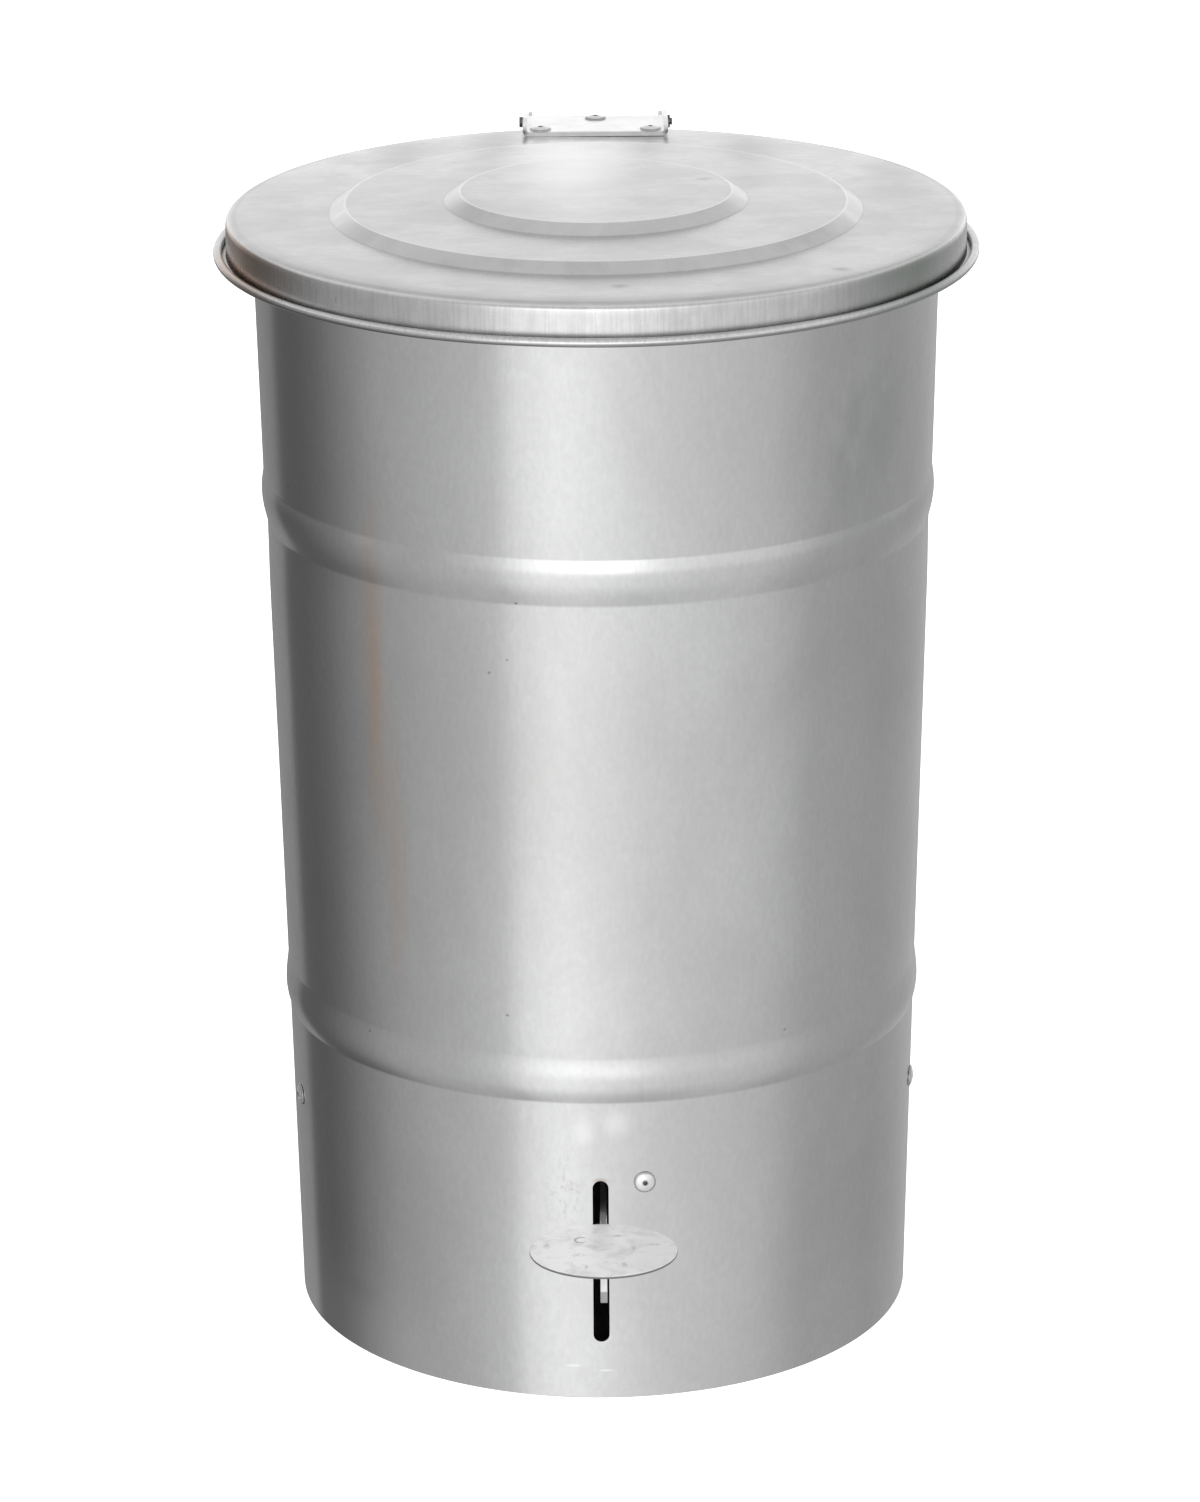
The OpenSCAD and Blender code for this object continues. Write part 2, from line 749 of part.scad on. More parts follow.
// Push-on clips: one above, past the lift tab, and one on each side of the lever's tail
module rod_clips() {
    places = [
        [tab_x0 + bracket_t + moving_gap, rod_pin_z],
        [-lever_t/2 - moving_gap - clip_t, lever_z],
        [lever_t/2 + moving_gap, lever_z]
    ];
    color("dimgray")
        for (place = places)
            difference() {
                rod_x(place[0], place[0] + clip_t, rod_pin_y, place[1], clip_r);
                rod_x(place[0] - cut, place[0] + clip_t + cut, rod_pin_y, place[1], rod_r + pin_clearance);
            }
}

body_shell();
body_rim_wire();
floor_pan();
floor_rivets();
pivot_bracket();
pivot_bracket_rivets();
pivot_pin();
pivot_spacers();
pivot_pin_clip();
hinge_base();
hinge_backing_strip();
hinge_base_rivets();
hinge_pin();
hinge_pin_clip();
lid();
lid_edge_wire();
lid_bracket();
lid_bracket_rivets();
lift_tab();
lift_tab_rivet();
pedal_lever();
pedal_plate();
push_rod();
rod_clips();
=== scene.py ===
"""Looks of a galvanized pedal bin: sheet skins, zinc finishes, a white studio and the camera.

Lengths are in metres and angles in degrees, unless a name says otherwise. Front is -Y, and an azimuth runs
from the front towards +X.
"""
import json
import math

import bmesh
import bpy
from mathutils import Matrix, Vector, noise

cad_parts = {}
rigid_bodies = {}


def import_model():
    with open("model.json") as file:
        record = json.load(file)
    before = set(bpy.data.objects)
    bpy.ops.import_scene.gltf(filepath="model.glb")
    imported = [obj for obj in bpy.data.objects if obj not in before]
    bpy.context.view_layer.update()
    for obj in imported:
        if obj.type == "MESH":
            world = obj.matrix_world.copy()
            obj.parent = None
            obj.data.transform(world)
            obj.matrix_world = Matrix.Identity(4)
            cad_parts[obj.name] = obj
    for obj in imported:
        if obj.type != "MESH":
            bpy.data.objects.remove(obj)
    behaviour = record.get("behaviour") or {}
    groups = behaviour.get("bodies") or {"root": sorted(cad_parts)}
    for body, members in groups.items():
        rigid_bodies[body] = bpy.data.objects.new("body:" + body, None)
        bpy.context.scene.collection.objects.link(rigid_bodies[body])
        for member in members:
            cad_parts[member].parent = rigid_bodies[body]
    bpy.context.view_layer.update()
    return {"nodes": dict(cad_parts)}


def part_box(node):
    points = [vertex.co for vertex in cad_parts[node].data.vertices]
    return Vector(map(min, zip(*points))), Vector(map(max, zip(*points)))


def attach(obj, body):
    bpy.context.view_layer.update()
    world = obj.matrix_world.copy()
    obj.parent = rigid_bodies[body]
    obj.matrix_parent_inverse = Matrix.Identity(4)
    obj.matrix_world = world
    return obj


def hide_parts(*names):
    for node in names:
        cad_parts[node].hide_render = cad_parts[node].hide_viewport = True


for leftover in list(bpy.data.objects):
    bpy.data.objects.remove(leftover)
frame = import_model()
scene = bpy.context.scene

# Sheet metal
SHEET_T = 0.001
CURL_R = 0.0021
CREASE = 0.0008
MERGE_GAP = 1e-6
SMOOTH_ANGLE = 35
SOFT_EDGE = 0.0005
SOFTENED_ANGLE = 30

# Body
FOOT_R = 0.187
TAPER = 0.022
COLLAR_STEP = 0.0006
NECK_DEPTH = 0.0005
NECK_H = 0.045
RIM_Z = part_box("body_shell")[1].z
BODY_CURL_END = -100
HEM_H = 0.009
SWAGE_H = 0.028
SWAGE_RISE = 0.002
LOWER_SWAGE_LEAN = 0.25
UPPER_SWAGE_Z = RIM_Z - 0.1677
LOWER_SWAGE_Z = 0.205
FRONT_SLOT = {"x": -0.0016, "side": -1, "bottom": 0.037, "top": 0.141}
REAR_SLOT = {"x": 0.0, "side": 1, "bottom": 0.0905, "top": 0.1425}
SLOT_W = 0.009
SLOT_EDGE_R = 0.0007
FLOOR_RIVET_Z = 0.14
FLOOR_RIVET_AZIMUTHS = (7.4, 82, -75, 188)
RIVET_HEAD_H = 0.002
RIVET_HEAD_R = 0.0065

# Body's lap seam, which ends a little below the rim
SEAM_AZIMUTH = 148
SEAM_W = 0.009
SEAM_RISE = 0.0007
SEAM_EDGE_W = 0.0005
SEAM_FADE_DEPTH = 0.012
SEAM_END_DEPTH = 0.008
# Turns inwards from the seam's edges at which the body's mesh has columns of its own, and the least turn
# from those edges to its other columns
SEAM_COLUMN_TURNS = (0.16, 0.1, 0.04, 0)
SEAM_COLUMN_GAP = 0.4

# Relief that rolling and handling have left in the body: how deep, how many waves for each metre along each
# axis, and where the pattern starts
BODY_ROLL = {"depth": 0.00032, "waves": (11, 11, 2.2), "start": (0, 0, 3)}
BODY_BUCKLE = {"depth": 0.00007, "waves": (24, 24, 17), "start": (0, 0, 9)}
# How far the body's stiff foot and rim reach
FOOT_STIFF_H = 0.05
RIM_STIFF_H = 0.01
RIM_EASE_H = 0.06
BODY_DENTS = [
    {"azimuth": -2.8, "z": 0.17, "wide": 0.005, "tall": 0.006, "depth": 0.0004},
    {"azimuth": 2.3, "z": 0.176, "wide": 0.005, "tall": 0.006, "depth": 0.0004},
    {"azimuth": 57, "z": 0.36, "wide": 0.05, "tall": 0.07, "depth": -0.0006},
    {"azimuth": -128, "z": 0.42, "wide": 0.04, "tall": 0.03, "depth": -0.0009},
    {"azimuth": 196, "z": 0.3, "wide": 0.05, "tall": 0.04, "depth": -0.0008},
]

# Lid
LID_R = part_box("lid")[1].x
LID_FOOT_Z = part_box("lid")[0].z
LID_TOP_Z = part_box("lid")[1].z
STEP_RISE = 0.0058
STEP_RUN = 0.0096
STEP_BEND_R = 0.0009
MIDDLE_FIELD_Z = LID_TOP_Z - STEP_RISE
OUTER_FIELD_Z = LID_TOP_Z - 2 * STEP_RISE
LID_EDGE_GAP = 0.0024
LID_BEND_R = 0.0035
LID_SKIRT_R = LID_R - 2 * (CURL_R + SHEET_T / 2) - LID_EDGE_GAP
LOWER_STEP_R = LID_SKIRT_R - 0.0607
UPPER_STEP_R = LOWER_STEP_R - 0.0674
LID_CURL_END = 190

# Relief that pressing and handling have left in the lid, within its stiff edge and along it
LID_SWAY = {"depth": 0.0003, "waves": (9, 9, 0), "start": (4, 0, 1)}
LID_BUCKLE = {"depth": 0.00006, "waves": (26, 26, 0), "start": (0, 0, 5)}
LID_EDGE_SWAY = {"depth": 0.00025, "waves": (14, 14, 0), "start": (0, 0, 8)}
LID_STIFF_W = 0.012
# How far the lid has sunk onto the rim, and how far its edge droops outside it
LID_SINK = 0.0002
LID_DROOP = 0.0008
LID_REST_R = 0.2045

# Pedal's tread
TREAD_EDGE_SHARE = 0.42
TREAD_RELIEF = {"depth": 0.00016, "waves": (60, 60, 0), "start": (0, 0, 2)}
TREAD_COLUMNS = 112

# Photograph's camera
CAMERA_PLACE = (0, -3.3484, 1.5009)
CAMERA_PITCH = 70.92
CAMERA_ROLL = -0.42
CAMERA_LENS_MM = 140.02
SENSOR_MM = 36


def span(start, stop, count):
    """Evenly spaced numbers from start to stop, both included."""
    return [start + (stop - start) * i / (count - 1) for i in range(count)]


def turn_columns(count):
    """Azimuths of so many columns all round."""
    return span(0, 360, count + 1)[:-1]


def arc(centre, radius, start, stop, count):
    """Points of an arc in the plane of a profile."""
    turns = [math.radians(a) for a in span(start, stop, count)]
    return [Vector((centre[0] + radius * math.cos(a), centre[1] + radius * math.sin(a))) for a in turns]


def smooth_step(x, low, high):
    """0 below low, 1 above high, and an even slope between them."""
    t = min(1.0, max(0.0, (x - low) / (high - low)))
    return t * t * (3 - 2 * t)


def turn_between(start, end):
    """Degrees from one azimuth to another, from -180 to 180."""
    return (end - start + 180) % 360 - 180


def relief(p, pattern):
    """How far a pattern lifts a point."""
    place = [c * waves + start for c, waves, start in zip(p, pattern["waves"], pattern["start"])]
    return pattern["depth"] * noise.noise(Vector(place))


def thicken(path, thickness):
    """Closed outline of a sheet of even thickness along a path of 2-D points."""
    runs = [(there - here).normalized() for here, there in zip(path, path[1:])]
    outer, inner = [], []
    for point, before, after in zip(path, runs[:1] + runs, runs + runs[-1:]):
        mean = (before + after).normalized()
        normal = Vector((-mean.y, mean.x)) / mean.dot(before)
        outer.append(point + normal * thickness / 2)
        inner.append(point - normal * thickness / 2)
    return outer + inner[::-1]


def shade(mesh):
    """Smooth shading that leaves sharp edges sharp."""
    mesh.shade_smooth()
    mesh.set_sharp_from_angle(angle=math.radians(SMOOTH_ANGLE))


def add_mesh(name, bm):
    """Turns a bmesh into a smooth-shaded object."""
    bmesh.ops.recalc_face_normals(bm, faces=bm.faces)
    mesh = bpy.data.meshes.new(name)
    bm.to_mesh(mesh)
    bm.free()
    shade(mesh)
    piece = bpy.data.objects.new(name, mesh)
    scene.collection.objects.link(piece)
    return piece


def bridge(bm, here, there):
    """Faces between two rings of as many vertices each."""
    for i in range(len(here)):
        j = (i + 1) % len(here)
        bm.faces.new((here[i], there[i], there[j], here[j]))


def revolve(outline, azimuths, place):
    """A bmesh of a closed outline turned about the vertical axis; place moves each point."""
    bm = bmesh.new()
    rings = []
    for azimuth in azimuths:
        a = math.radians(azimuth)
        points = [Vector((r * math.sin(a), -r * math.cos(a), z)) for r, z in outline]
        rings.append([bm.verts.new(place(p)) for p in points])
    for here, there in zip(rings, rings[1:] + rings[:1]):
        bridge(bm, here, there)
    bmesh.ops.remove_doubles(bm, verts=bm.verts, dist=MERGE_GAP)
    bmesh.ops.dissolve_degenerate(bm, edges=bm.edges, dist=MERGE_GAP / 10)
    return bm


def loft(sections):
    """A closed bmesh through rings of as many points each."""
    bm = bmesh.new()
    rings = [[bm.verts.new(p) for p in section] for section in sections]
    for here, there in zip(rings, rings[1:]):
        bridge(bm, here, there)
    bm.faces.new(rings[0])
    bm.faces.new(rings[-1][::-1])
    return bm


def cut_away(piece, cutter):
    """Takes cutter out of piece for good."""
    modifier = piece.modifiers.new("Cut", "BOOLEAN")
    modifier.operation = "DIFFERENCE"
    modifier.solver = "EXACT"
    modifier.object = cutter
    shaped = bpy.data.meshes.new_from_object(piece.evaluated_get(bpy.context.evaluated_depsgraph_get()))
    piece.modifiers.clear()
    old = piece.data
    piece.data = shaped
    shade(shaped)
    bpy.data.meshes.remove(old)
    bpy.data.objects.remove(cutter)


# Body


def wall_r(z):
    """Outside radius of the body's wall at a height, with the collar but without the swages."""
    low, high = UPPER_SWAGE_Z - SWAGE_H / 2, UPPER_SWAGE_Z + SWAGE_H / 2
    collar = smooth_step(z, low, high)
    neck = smooth_step(z, low - NECK_H, low) * (1 - collar)
    return FOOT_R + TAPER * z + COLLAR_STEP * collar - NECK_DEPTH * neck


def wall_place(azimuth, z, out):
    """The place so far outside the wall, at an azimuth and a height."""
    a = math.radians(azimuth)
    radius = wall_r(z) + out
    return (radius * math.sin(a), -radius * math.cos(a), z)


def swage_points(middle, lean=0):
    """Middle line of the wall's sheet across one swage, whose crest lies lower as lean grows."""
    points = []
    for u in span(-1, 1, count=27):
        z = middle + u * SWAGE_H / 2
        bulge = SWAGE_RISE * math.cos((u + lean * (1 - u * u)) * math.pi / 2)
        points.append(Vector((wall_r(z) - SHEET_T / 2 + bulge, z)))
    return points


def wall_points(low, high, rows):
    """Middle line of the wall's sheet between two heights, with a row close to each end."""
    heights = [low + CREASE] + span(low, high, rows)[1:-1] + [high - CREASE]
    return [Vector((wall_r(z) - SHEET_T / 2, z)) for z in heights]


def body_outline():
    """Outline of the body's sheet: hem, wall, swages and rolled rim."""
    foot_end, middle_start, middle_end, collar_start = [
        z + side * SWAGE_H / 2 for z in (LOWER_SWAGE_Z, UPPER_SWAGE_Z) for side in (-1, 1)
    ]
    curl_centre = (wall_r(RIM_Z) - SHEET_T / 2 + CURL_R, RIM_Z - CURL_R - SHEET_T / 2)
    path = [Vector((wall_r(0) - SHEET_T / 2, 0))]
    path += wall_points(0, foot_end, rows=30)
    path += swage_points(LOWER_SWAGE_Z, LOWER_SWAGE_LEAN)
    path += wall_points(middle_start, middle_end, rows=42)
    path += swage_points(UPPER_SWAGE_Z)
    path += wall_points(collar_start, curl_centre[1], rows=24)
    path += arc(curl_centre, CURL_R, 180, BODY_CURL_END, count=18)
    sheet = thicken(path, SHEET_T)
    hem_r = FOOT_R - 2 * SHEET_T
    edge = SHEET_T / 3
    hem = [
        Vector((wall_r(HEM_H) - SHEET_T, HEM_H)), Vector((hem_r + edge, HEM_H)),
        Vector((hem_r, HEM_H - edge)), Vector((hem_r, edge)), Vector((hem_r + edge, 0)),
        Vector((FOOT_R - edge, 0)), Vector((FOOT_R, edge)),
    ]
    return [p for p in sheet[1:-1] if p.y > HEM_H or p.x > FOOT_R - SHEET_T / 2] + hem


def seam_rise(azimuth, z):
    """How far the seam's lap lifts the wall at an azimuth and a height."""
    aside = abs(math.radians(turn_between(SEAM_AZIMUTH, azimuth))) * wall_r(z)
    lap = 1 - smooth_step(aside, SEAM_W / 2 - SEAM_EDGE_W, SEAM_W / 2)
    return SEAM_RISE * lap * (1 - smooth_step(z, RIM_Z - SEAM_FADE_DEPTH, RIM_Z - SEAM_END_DEPTH))


def dent_rise(dent, azimuth, z):
    """How far a dent, or a bump, lifts the wall at an azimuth and a height."""
    aside = math.radians(turn_between(dent["azimuth"], azimuth)) * FOOT_R
    away = math.hypot(aside / dent["wide"], (z - dent["z"]) / dent["tall"])
    return dent["depth"] * math.exp(-away * away)


def body_place(p):
    """A point of the wall, moved as rolling, welding and handling have left the sheet."""
    a = math.atan2(p.x, -p.y)
    azimuth = math.degrees(a)
    stiff = smooth_step(p.z, RIM_Z - RIM_EASE_H, RIM_Z - RIM_STIFF_H)
    free = smooth_step(p.z, 0, FOOT_STIFF_H) * (1 - stiff)
    shift = (relief(p, BODY_ROLL) + relief(p, BODY_BUCKLE)) * free + seam_rise(azimuth, p.z)
    shift += sum(dent_rise(dent, azimuth, p.z) for dent in BODY_DENTS)
    return p + Vector((math.sin(a), -math.cos(a), 0)) * shift


def body_azimuths():
    """Columns of the body's mesh, closer together at the seam's edges."""
    half = math.degrees(SEAM_W / 2 / FOOT_R)
    edges = [SEAM_AZIMUTH + side * (half - turn) for side in (-1, 1) for turn in SEAM_COLUMN_TURNS]
    columns = [a for a in turn_columns(216) if abs(a - SEAM_AZIMUTH) > half + SEAM_COLUMN_GAP]
    return sorted(columns + edges + [SEAM_AZIMUTH])


def slot_cutter(slot):
    """A body that cuts one upright slot, flared where it meets the outside of the wall."""
    round_edge = [(SLOT_EDGE_R * (1 - math.cos(a)), 1 - math.sin(a)) for a in (0.5, 1.0, 1.57)]
    outside, surface, inside = (-4 * SHEET_T, 2.2), (0, 1), (12 * SHEET_T, 0)
    sections = []
    for depth, flare in [outside, surface, *round_edge, inside]:
        radius = SLOT_W / 2 + SLOT_EDGE_R * flare
        ring = arc((slot["x"], slot["top"] - SLOT_W / 2), radius, 0, 180, count=17)
        ring += arc((slot["x"], slot["bottom"] + SLOT_W / 2), radius, 180, 360, count=17)
        sections.append([Vector((p.x, slot["side"] * (wall_r(p.y) - depth), p.y)) for p in ring])
    return add_mesh("slot_cutter", loft(sections))


def make_body():
    """The body's sheet, with its slots."""
    piece = add_mesh("body_sheet", revolve(body_outline(), body_azimuths(), body_place))
    for slot in (FRONT_SLOT, REAR_SLOT):
        cut_away(piece, slot_cutter(slot))
    return piece


# Lid


def step_points(radius, foot_z):
    """Middle line of one step of the lid, from its crest out to its foot, with a small bend at each end."""
    slope = math.degrees(math.atan(STEP_RISE / STEP_RUN))
    crest = (radius - STEP_RUN, foot_z + STEP_RISE - SHEET_T / 2 - STEP_BEND_R)
    foot = (radius, foot_z - SHEET_T / 2 + STEP_BEND_R)
    crest_bend = arc(crest, STEP_BEND_R, 90, 90 - slope, count=5)
    return crest_bend + arc(foot, STEP_BEND_R, 270 - slope, 270, count=5)


def field_points(start, stop, z, count):
    """Middle line of one flat field of the lid."""
    return [Vector((r, z - SHEET_T / 2)) for r in span(start, stop, count)]


def lid_outline():
    """Outline of the lid's sheet: stepped fields, skirt and rolled edge."""
    skirt = LID_SKIRT_R - SHEET_T / 2
    skirt_end = LID_FOOT_Z + 2 * SHEET_T
    bend_centre = (skirt - LID_BEND_R, OUTER_FIELD_Z - SHEET_T / 2 - LID_BEND_R)
    lip_centre = (LID_SKIRT_R + SHEET_T / 2, LID_FOOT_Z + SHEET_T * 3 / 2)
    curl_centre = (LID_R - CURL_R - SHEET_T / 2, LID_FOOT_Z + CURL_R + SHEET_T / 2)
    near = 2 * CREASE
    path = field_points(0, UPPER_STEP_R - STEP_RUN - near, LID_TOP_Z, count=13)
    path += step_points(UPPER_STEP_R, MIDDLE_FIELD_Z)
    path += field_points(UPPER_STEP_R + near, LOWER_STEP_R - STEP_RUN - near, MIDDLE_FIELD_Z, count=11)
    path += step_points(LOWER_STEP_R, OUTER_FIELD_Z)
    path += field_points(LOWER_STEP_R + near, bend_centre[0] - CREASE, OUTER_FIELD_Z, count=11)
    path += arc(bend_centre, LID_BEND_R, 90, 0, count=8)
    path += [Vector((skirt, z)) for z in span(bend_centre[1], skirt_end, count=7)[1:-1]]
    path += arc(lip_centre, SHEET_T, 180, 270, count=5)
    path += arc(curl_centre, CURL_R, -90, LID_CURL_END, count=20)
    return thicken(path, SHEET_T)


def lid_place(p):
    """A point of the lid, moved as pressing and handling have left the sheet."""
    radius = math.hypot(p.x, p.y)
    free = 1 - smooth_step(radius, LID_SKIRT_R - LID_STIFF_W, LID_SKIRT_R)
    rise = (relief(p, LID_SWAY) + relief(p, LID_BUCKLE)) * free + relief(p, LID_EDGE_SWAY) * (1 - free)
    rise -= LID_SINK + LID_DROOP * smooth_step(radius, LID_REST_R, LID_SKIRT_R)
    return p + Vector((0, 0, rise))


def make_lid():
    """The lid's sheet."""
    return add_mesh("lid_sheet", revolve(lid_outline(), turn_columns(240), lid_place))


# Pedal


def make_pedal():
    """The oval tread plate, with a rounded edge and a slightly uneven face."""
    low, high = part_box("pedal_plate")
    centre, half = (low + high) / 2, (high - low) / 2
    thickness = high.z - low.z
    edge = thickness * TREAD_EDGE_SHARE
    turns = span(0, math.pi / 2, 5)
    upper_edge = [(-edge * (1 - math.sin(a)), thickness - edge * (1 - math.cos(a))) for a in turns]
    lower_edge = [(inset, thickness - z) for inset, z in upper_edge[::-1]]
    rings = [(share, 0, thickness) for share in (0.2, 0.4, 0.6, 0.75, 0.88)]
    rings += [(1, inset, z) for inset, z in upper_edge + lower_edge]
    rings += [(share, 0, 0) for share in (0.88, 0.6, 0.3)]
    sections = []
    for share, inset, z in rings:
        section = []
        for i in range(TREAD_COLUMNS):
            a = math.tau * i / TREAD_COLUMNS
            x, y = (half.x * share + inset) * math.cos(a), (half.y * share + inset) * math.sin(a)
            rise = relief((x, y, 0), TREAD_RELIEF) if z > thickness / 2 else 0
            rise -= TREAD_RELIEF["depth"]
            section.append((centre.x + x, centre.y + y, low.z + z + rise))
        sections.append(section)
    return add_mesh("pedal_tread", loft(sections))


def soften(name):
    """Rounds the sharp edges of a CAD node as it is shown."""
    node = frame["nodes"][name]
    if "custom_normal" in node.data.attributes:
        node.data.attributes.remove(node.data.attributes["custom_normal"])
    weld = node.modifiers.new("Weld", "WELD")
    weld.merge_threshold = MERGE_GAP
    bevel = node.modifiers.new("Soft edges", "BEVEL")
    bevel.width = SOFT_EDGE
    bevel.segments = 2
    bevel.limit_method = "ANGLE"
    bevel.angle_limit = math.radians(SOFTENED_ANGLE)
    bevel.harden_normals = True
    node.data.shade_smooth()


# Materials


class Nodes:
    """A node tree, emptied first, with short calls for the nodes that this script uses."""

    def __init__(self, tree):
        self.tree = tree
        tree.nodes.clear()

    def fill(self, socket, value):
        """Links a value to an input, or sets it there."""
        if isinstance(value, bpy.types.NodeSocket):
            self.tree.links.new(value, socket)
        else:
            socket.default_value = value

    def add(self, kind, inputs=(), **settings):
        """Adds a node, sets its properties, and fills its inputs."""
        node = self.tree.nodes.new("ShaderNode" + kind)
        for key, value in settings.items():
            setattr(node, key, value)
        for key, value in dict(inputs).items():
            self.fill(node.inputs[key], value)
        return node

    def close(self, kind, shader):
        """Ends the tree with an output of this kind."""
        self.fill(self.add(kind).inputs["Surface"], shader.outputs[0])

    def math(self, operation, a, b=0.0):
        """One step of arithmetic."""
        return self.add("Math", {0: a, 1: b}, operation=operation).outputs[0]

    def times(self, a, b):
        """The product of two values."""
        return self.math("MULTIPLY", a, b)

    def plus(self, total, *others):
        """The sum of some values."""
        for other in others:
            total = self.math("ADD", total, other)
        return total

    def ease(self, value, low, high, to_low=0.0, to_high=1.0):
        """Maps low..high to to_low..to_high with soft ends."""
        inputs = {"Value": value, "From Min": low, "From Max": high, "To Min": to_low, "To Max": to_high}
        return self.add("MapRange", inputs, interpolation_type="SMOOTHSTEP").outputs["Result"]

    def blend(self, share, first, second):
        """Mixes two colours."""
        node = self.add("Mix", data_type="RGBA")
        for key, value in (("Factor_Float", share), ("A_Color", first), ("B_Color", second)):
            self.fill(next(s for s in node.inputs if s.identifier == key), value)
        return next(s for s in node.outputs if s.identifier == "Result_Color")


class Finish(Nodes):
    """One material's node tree, with the patterns that the finishes share."""

    def __init__(self, name):
        self.material = bpy.data.materials.new(name)
        self.material.use_nodes = True
        super().__init__(self.material.node_tree)
        self.coordinates = self.add("TexCoord").outputs["Object"]

    def stretched(self, scale):
        """The surface coordinates, scaled along each axis."""
        return self.add("Mapping", {"Vector": self.coordinates, "Scale": scale}).outputs["Vector"]

    def noise(self, scale, detail=3, roughness=0.55, distortion=0):
        """Noise with so many features for each metre along X, Y and Z."""
        inputs = {
            "Vector": self.stretched(scale), "Scale": 1, "Detail": detail, "Roughness": roughness,
            "Distortion": distortion,
        }
        return self.add("TexNoise", inputs).outputs["Fac"]

    def cells(self, size):
        """Cells of about this size: each one's two random levels, and the distance from its middle."""
        inputs = {"Vector": self.coordinates, "Scale": 1 / size, "Randomness": 1}
        cell = self.add("TexVoronoi", inputs, feature="F1").outputs
        levels = self.add("SeparateColor", {"Color": cell["Color"]}).outputs
        return levels["Red"], levels["Green"], cell["Distance"]

    def spangle(self, size):
        """Random level of each zinc crystal of about this size."""
        return self.cells(size)[0]

    def pits(self, spacing, size, share):
        """1 inside a small pit, in a share of the cells of this spacing."""
        _, level, distance = self.cells(spacing)
        chosen = self.math("LESS_THAN", level, share)
        return self.times(chosen, self.ease(distance, size / spacing * 0.5, size / spacing, 1, 0))

    def axis(self, name):
        """The surface's own X, Y or Z coordinate."""
        return self.add("SeparateXYZ", {"Vector": self.coordinates}).outputs[name]

    def distance(self, place, scale=(1, 1, 1)):
        """Distance of the surface from a place, with both scaled along each axis."""
        scaled = tuple(c * s for c, s in zip(place, scale))
        inputs = {0: self.stretched(scale), 1: scaled}
        return self.add("VectorMath", inputs, operation="DISTANCE").outputs["Value"]

    def flat_distance(self, x, y):
        """Distance of the surface from an upright line."""
        return self.distance((x, y, 0), (1, 1, 0))

    def spot(self, place, size):
        """1 at a place on the surface, fading to 0 at size from it along each axis."""
        return self.ease(self.distance(place, tuple(1 / s for s in size)), 0, 1, 1, 0)

    def off(self, value, middle):
        """How far a value is from its middle, to either side."""
        return self.math("ABSOLUTE", self.math("SUBTRACT", value, middle))

    def ring(self, value, middle, width):
        """1 where a value is at its middle, fading to 0 at width to either side."""
        return self.ease(self.off(value, middle), 0, width, 1, 0)

    def tinted(self, colour, share, strength, tint):
        """The colour, blended towards a tint by share times strength."""
        return self.blend(self.times(share, strength), colour, tint)

    def marked(self, colour, place, size, strength, tint):
        """The colour, with a soft mark at a place."""
        return self.tinted(colour, self.spot(place, size), strength, tint)

    def finish(self, colour, roughness, height, bump, depth, metallic=1.0):
        """Closes the tree with a shader, and returns the material."""
        relief = self.add("Bump", {"Height": height, "Strength": bump, "Distance": depth})
        inputs = {
            "Base Color": colour, "Metallic": metallic, "Roughness": roughness,
            "Normal": relief.outputs["Normal"],
        }
        self.close("OutputMaterial", self.add("BsdfPrincipled", inputs))
        return self.material


def grey(level, tint=(1, 1, 1)):
    """A colour from a grey level and a tint."""
    return (level * tint[0], level * tint[1], level * tint[2], 1)


WHITE = grey(1.0)
PIT_GREY = grey(0.3)
# Painted shade for holes and gaps
PAINTED_SHADE_GREY = grey(0.08)
MARK_GREY = grey(0.16)
RUN_BROWN = (0.74, 0.58, 0.47, 1)
BURR_BROWN = (0.3, 0.2, 0.15, 1)
STAIN_GREEN = (0.46, 0.5, 0.47, 1)

# Small dark pits of the body, the burr above its slot, and scratches left of the slot
BODY_SPOTS = [
    (-0.047, -0.192, 0.498), (-0.137, -0.134, 0.215), (-0.055, -0.184, 0.244), (0.107, -0.159, 0.224),
    (-0.063, -0.187, 0.455),
]
BODY_SPOT_SIZE = (0.0016, 0.0016, 0.0012)
SLOT_BURR = ((FRONT_SLOT["x"], -0.19, FRONT_SLOT["top"]), (0.006, 0.006, 0.003))
SCRATCHES = ((-0.022, -0.19, 0.132), (0.016, 0.03, 0.034))
GREEN_PATCH = ((0.15, -0.133, 0.58), (0.07, 0.07, 0.1))
# Lighter wipes and scuffs of the body, and painted highlights over the two dents above the front slot:
# places, sizes and strengths
BODY_WIPES_AND_HIGHLIGHTS = [
    # Painted highlights over the two dents above the front slot
    ((0.009, -0.191, 0.178), (0.013, 0.03, 0.014), 0.4),
    ((-0.011, -0.191, 0.173), (0.01, 0.03, 0.016), 0.35),
    ((-0.018, -0.187, 0.021), (0.007, 0.02, 0.0014), 0.5),
    ((0.001, -0.187, 0.018), (0.006, 0.02, 0.0012), 0.7),
    ((-0.16, -0.1, 0.005), (0.1, 0.1, 0.075), 0.8),
]
# Brown run of the body, and a darker patch near its foot: places, sizes, strengths and colours
BODY_STAINS = [
    ((-0.13, -0.148, 0.44), (0.0105, 0.02, 0.15), 0.75, RUN_BROWN),
    ((-0.1195, -0.1525, 0.33), (0.009, 0.02, 0.12), 0.4, RUN_BROWN),
    ((-0.148, -0.116, 0.04), (0.03, 0.03, 0.014), 0.35, (0.42, 0.42, 0.41, 1)),
]


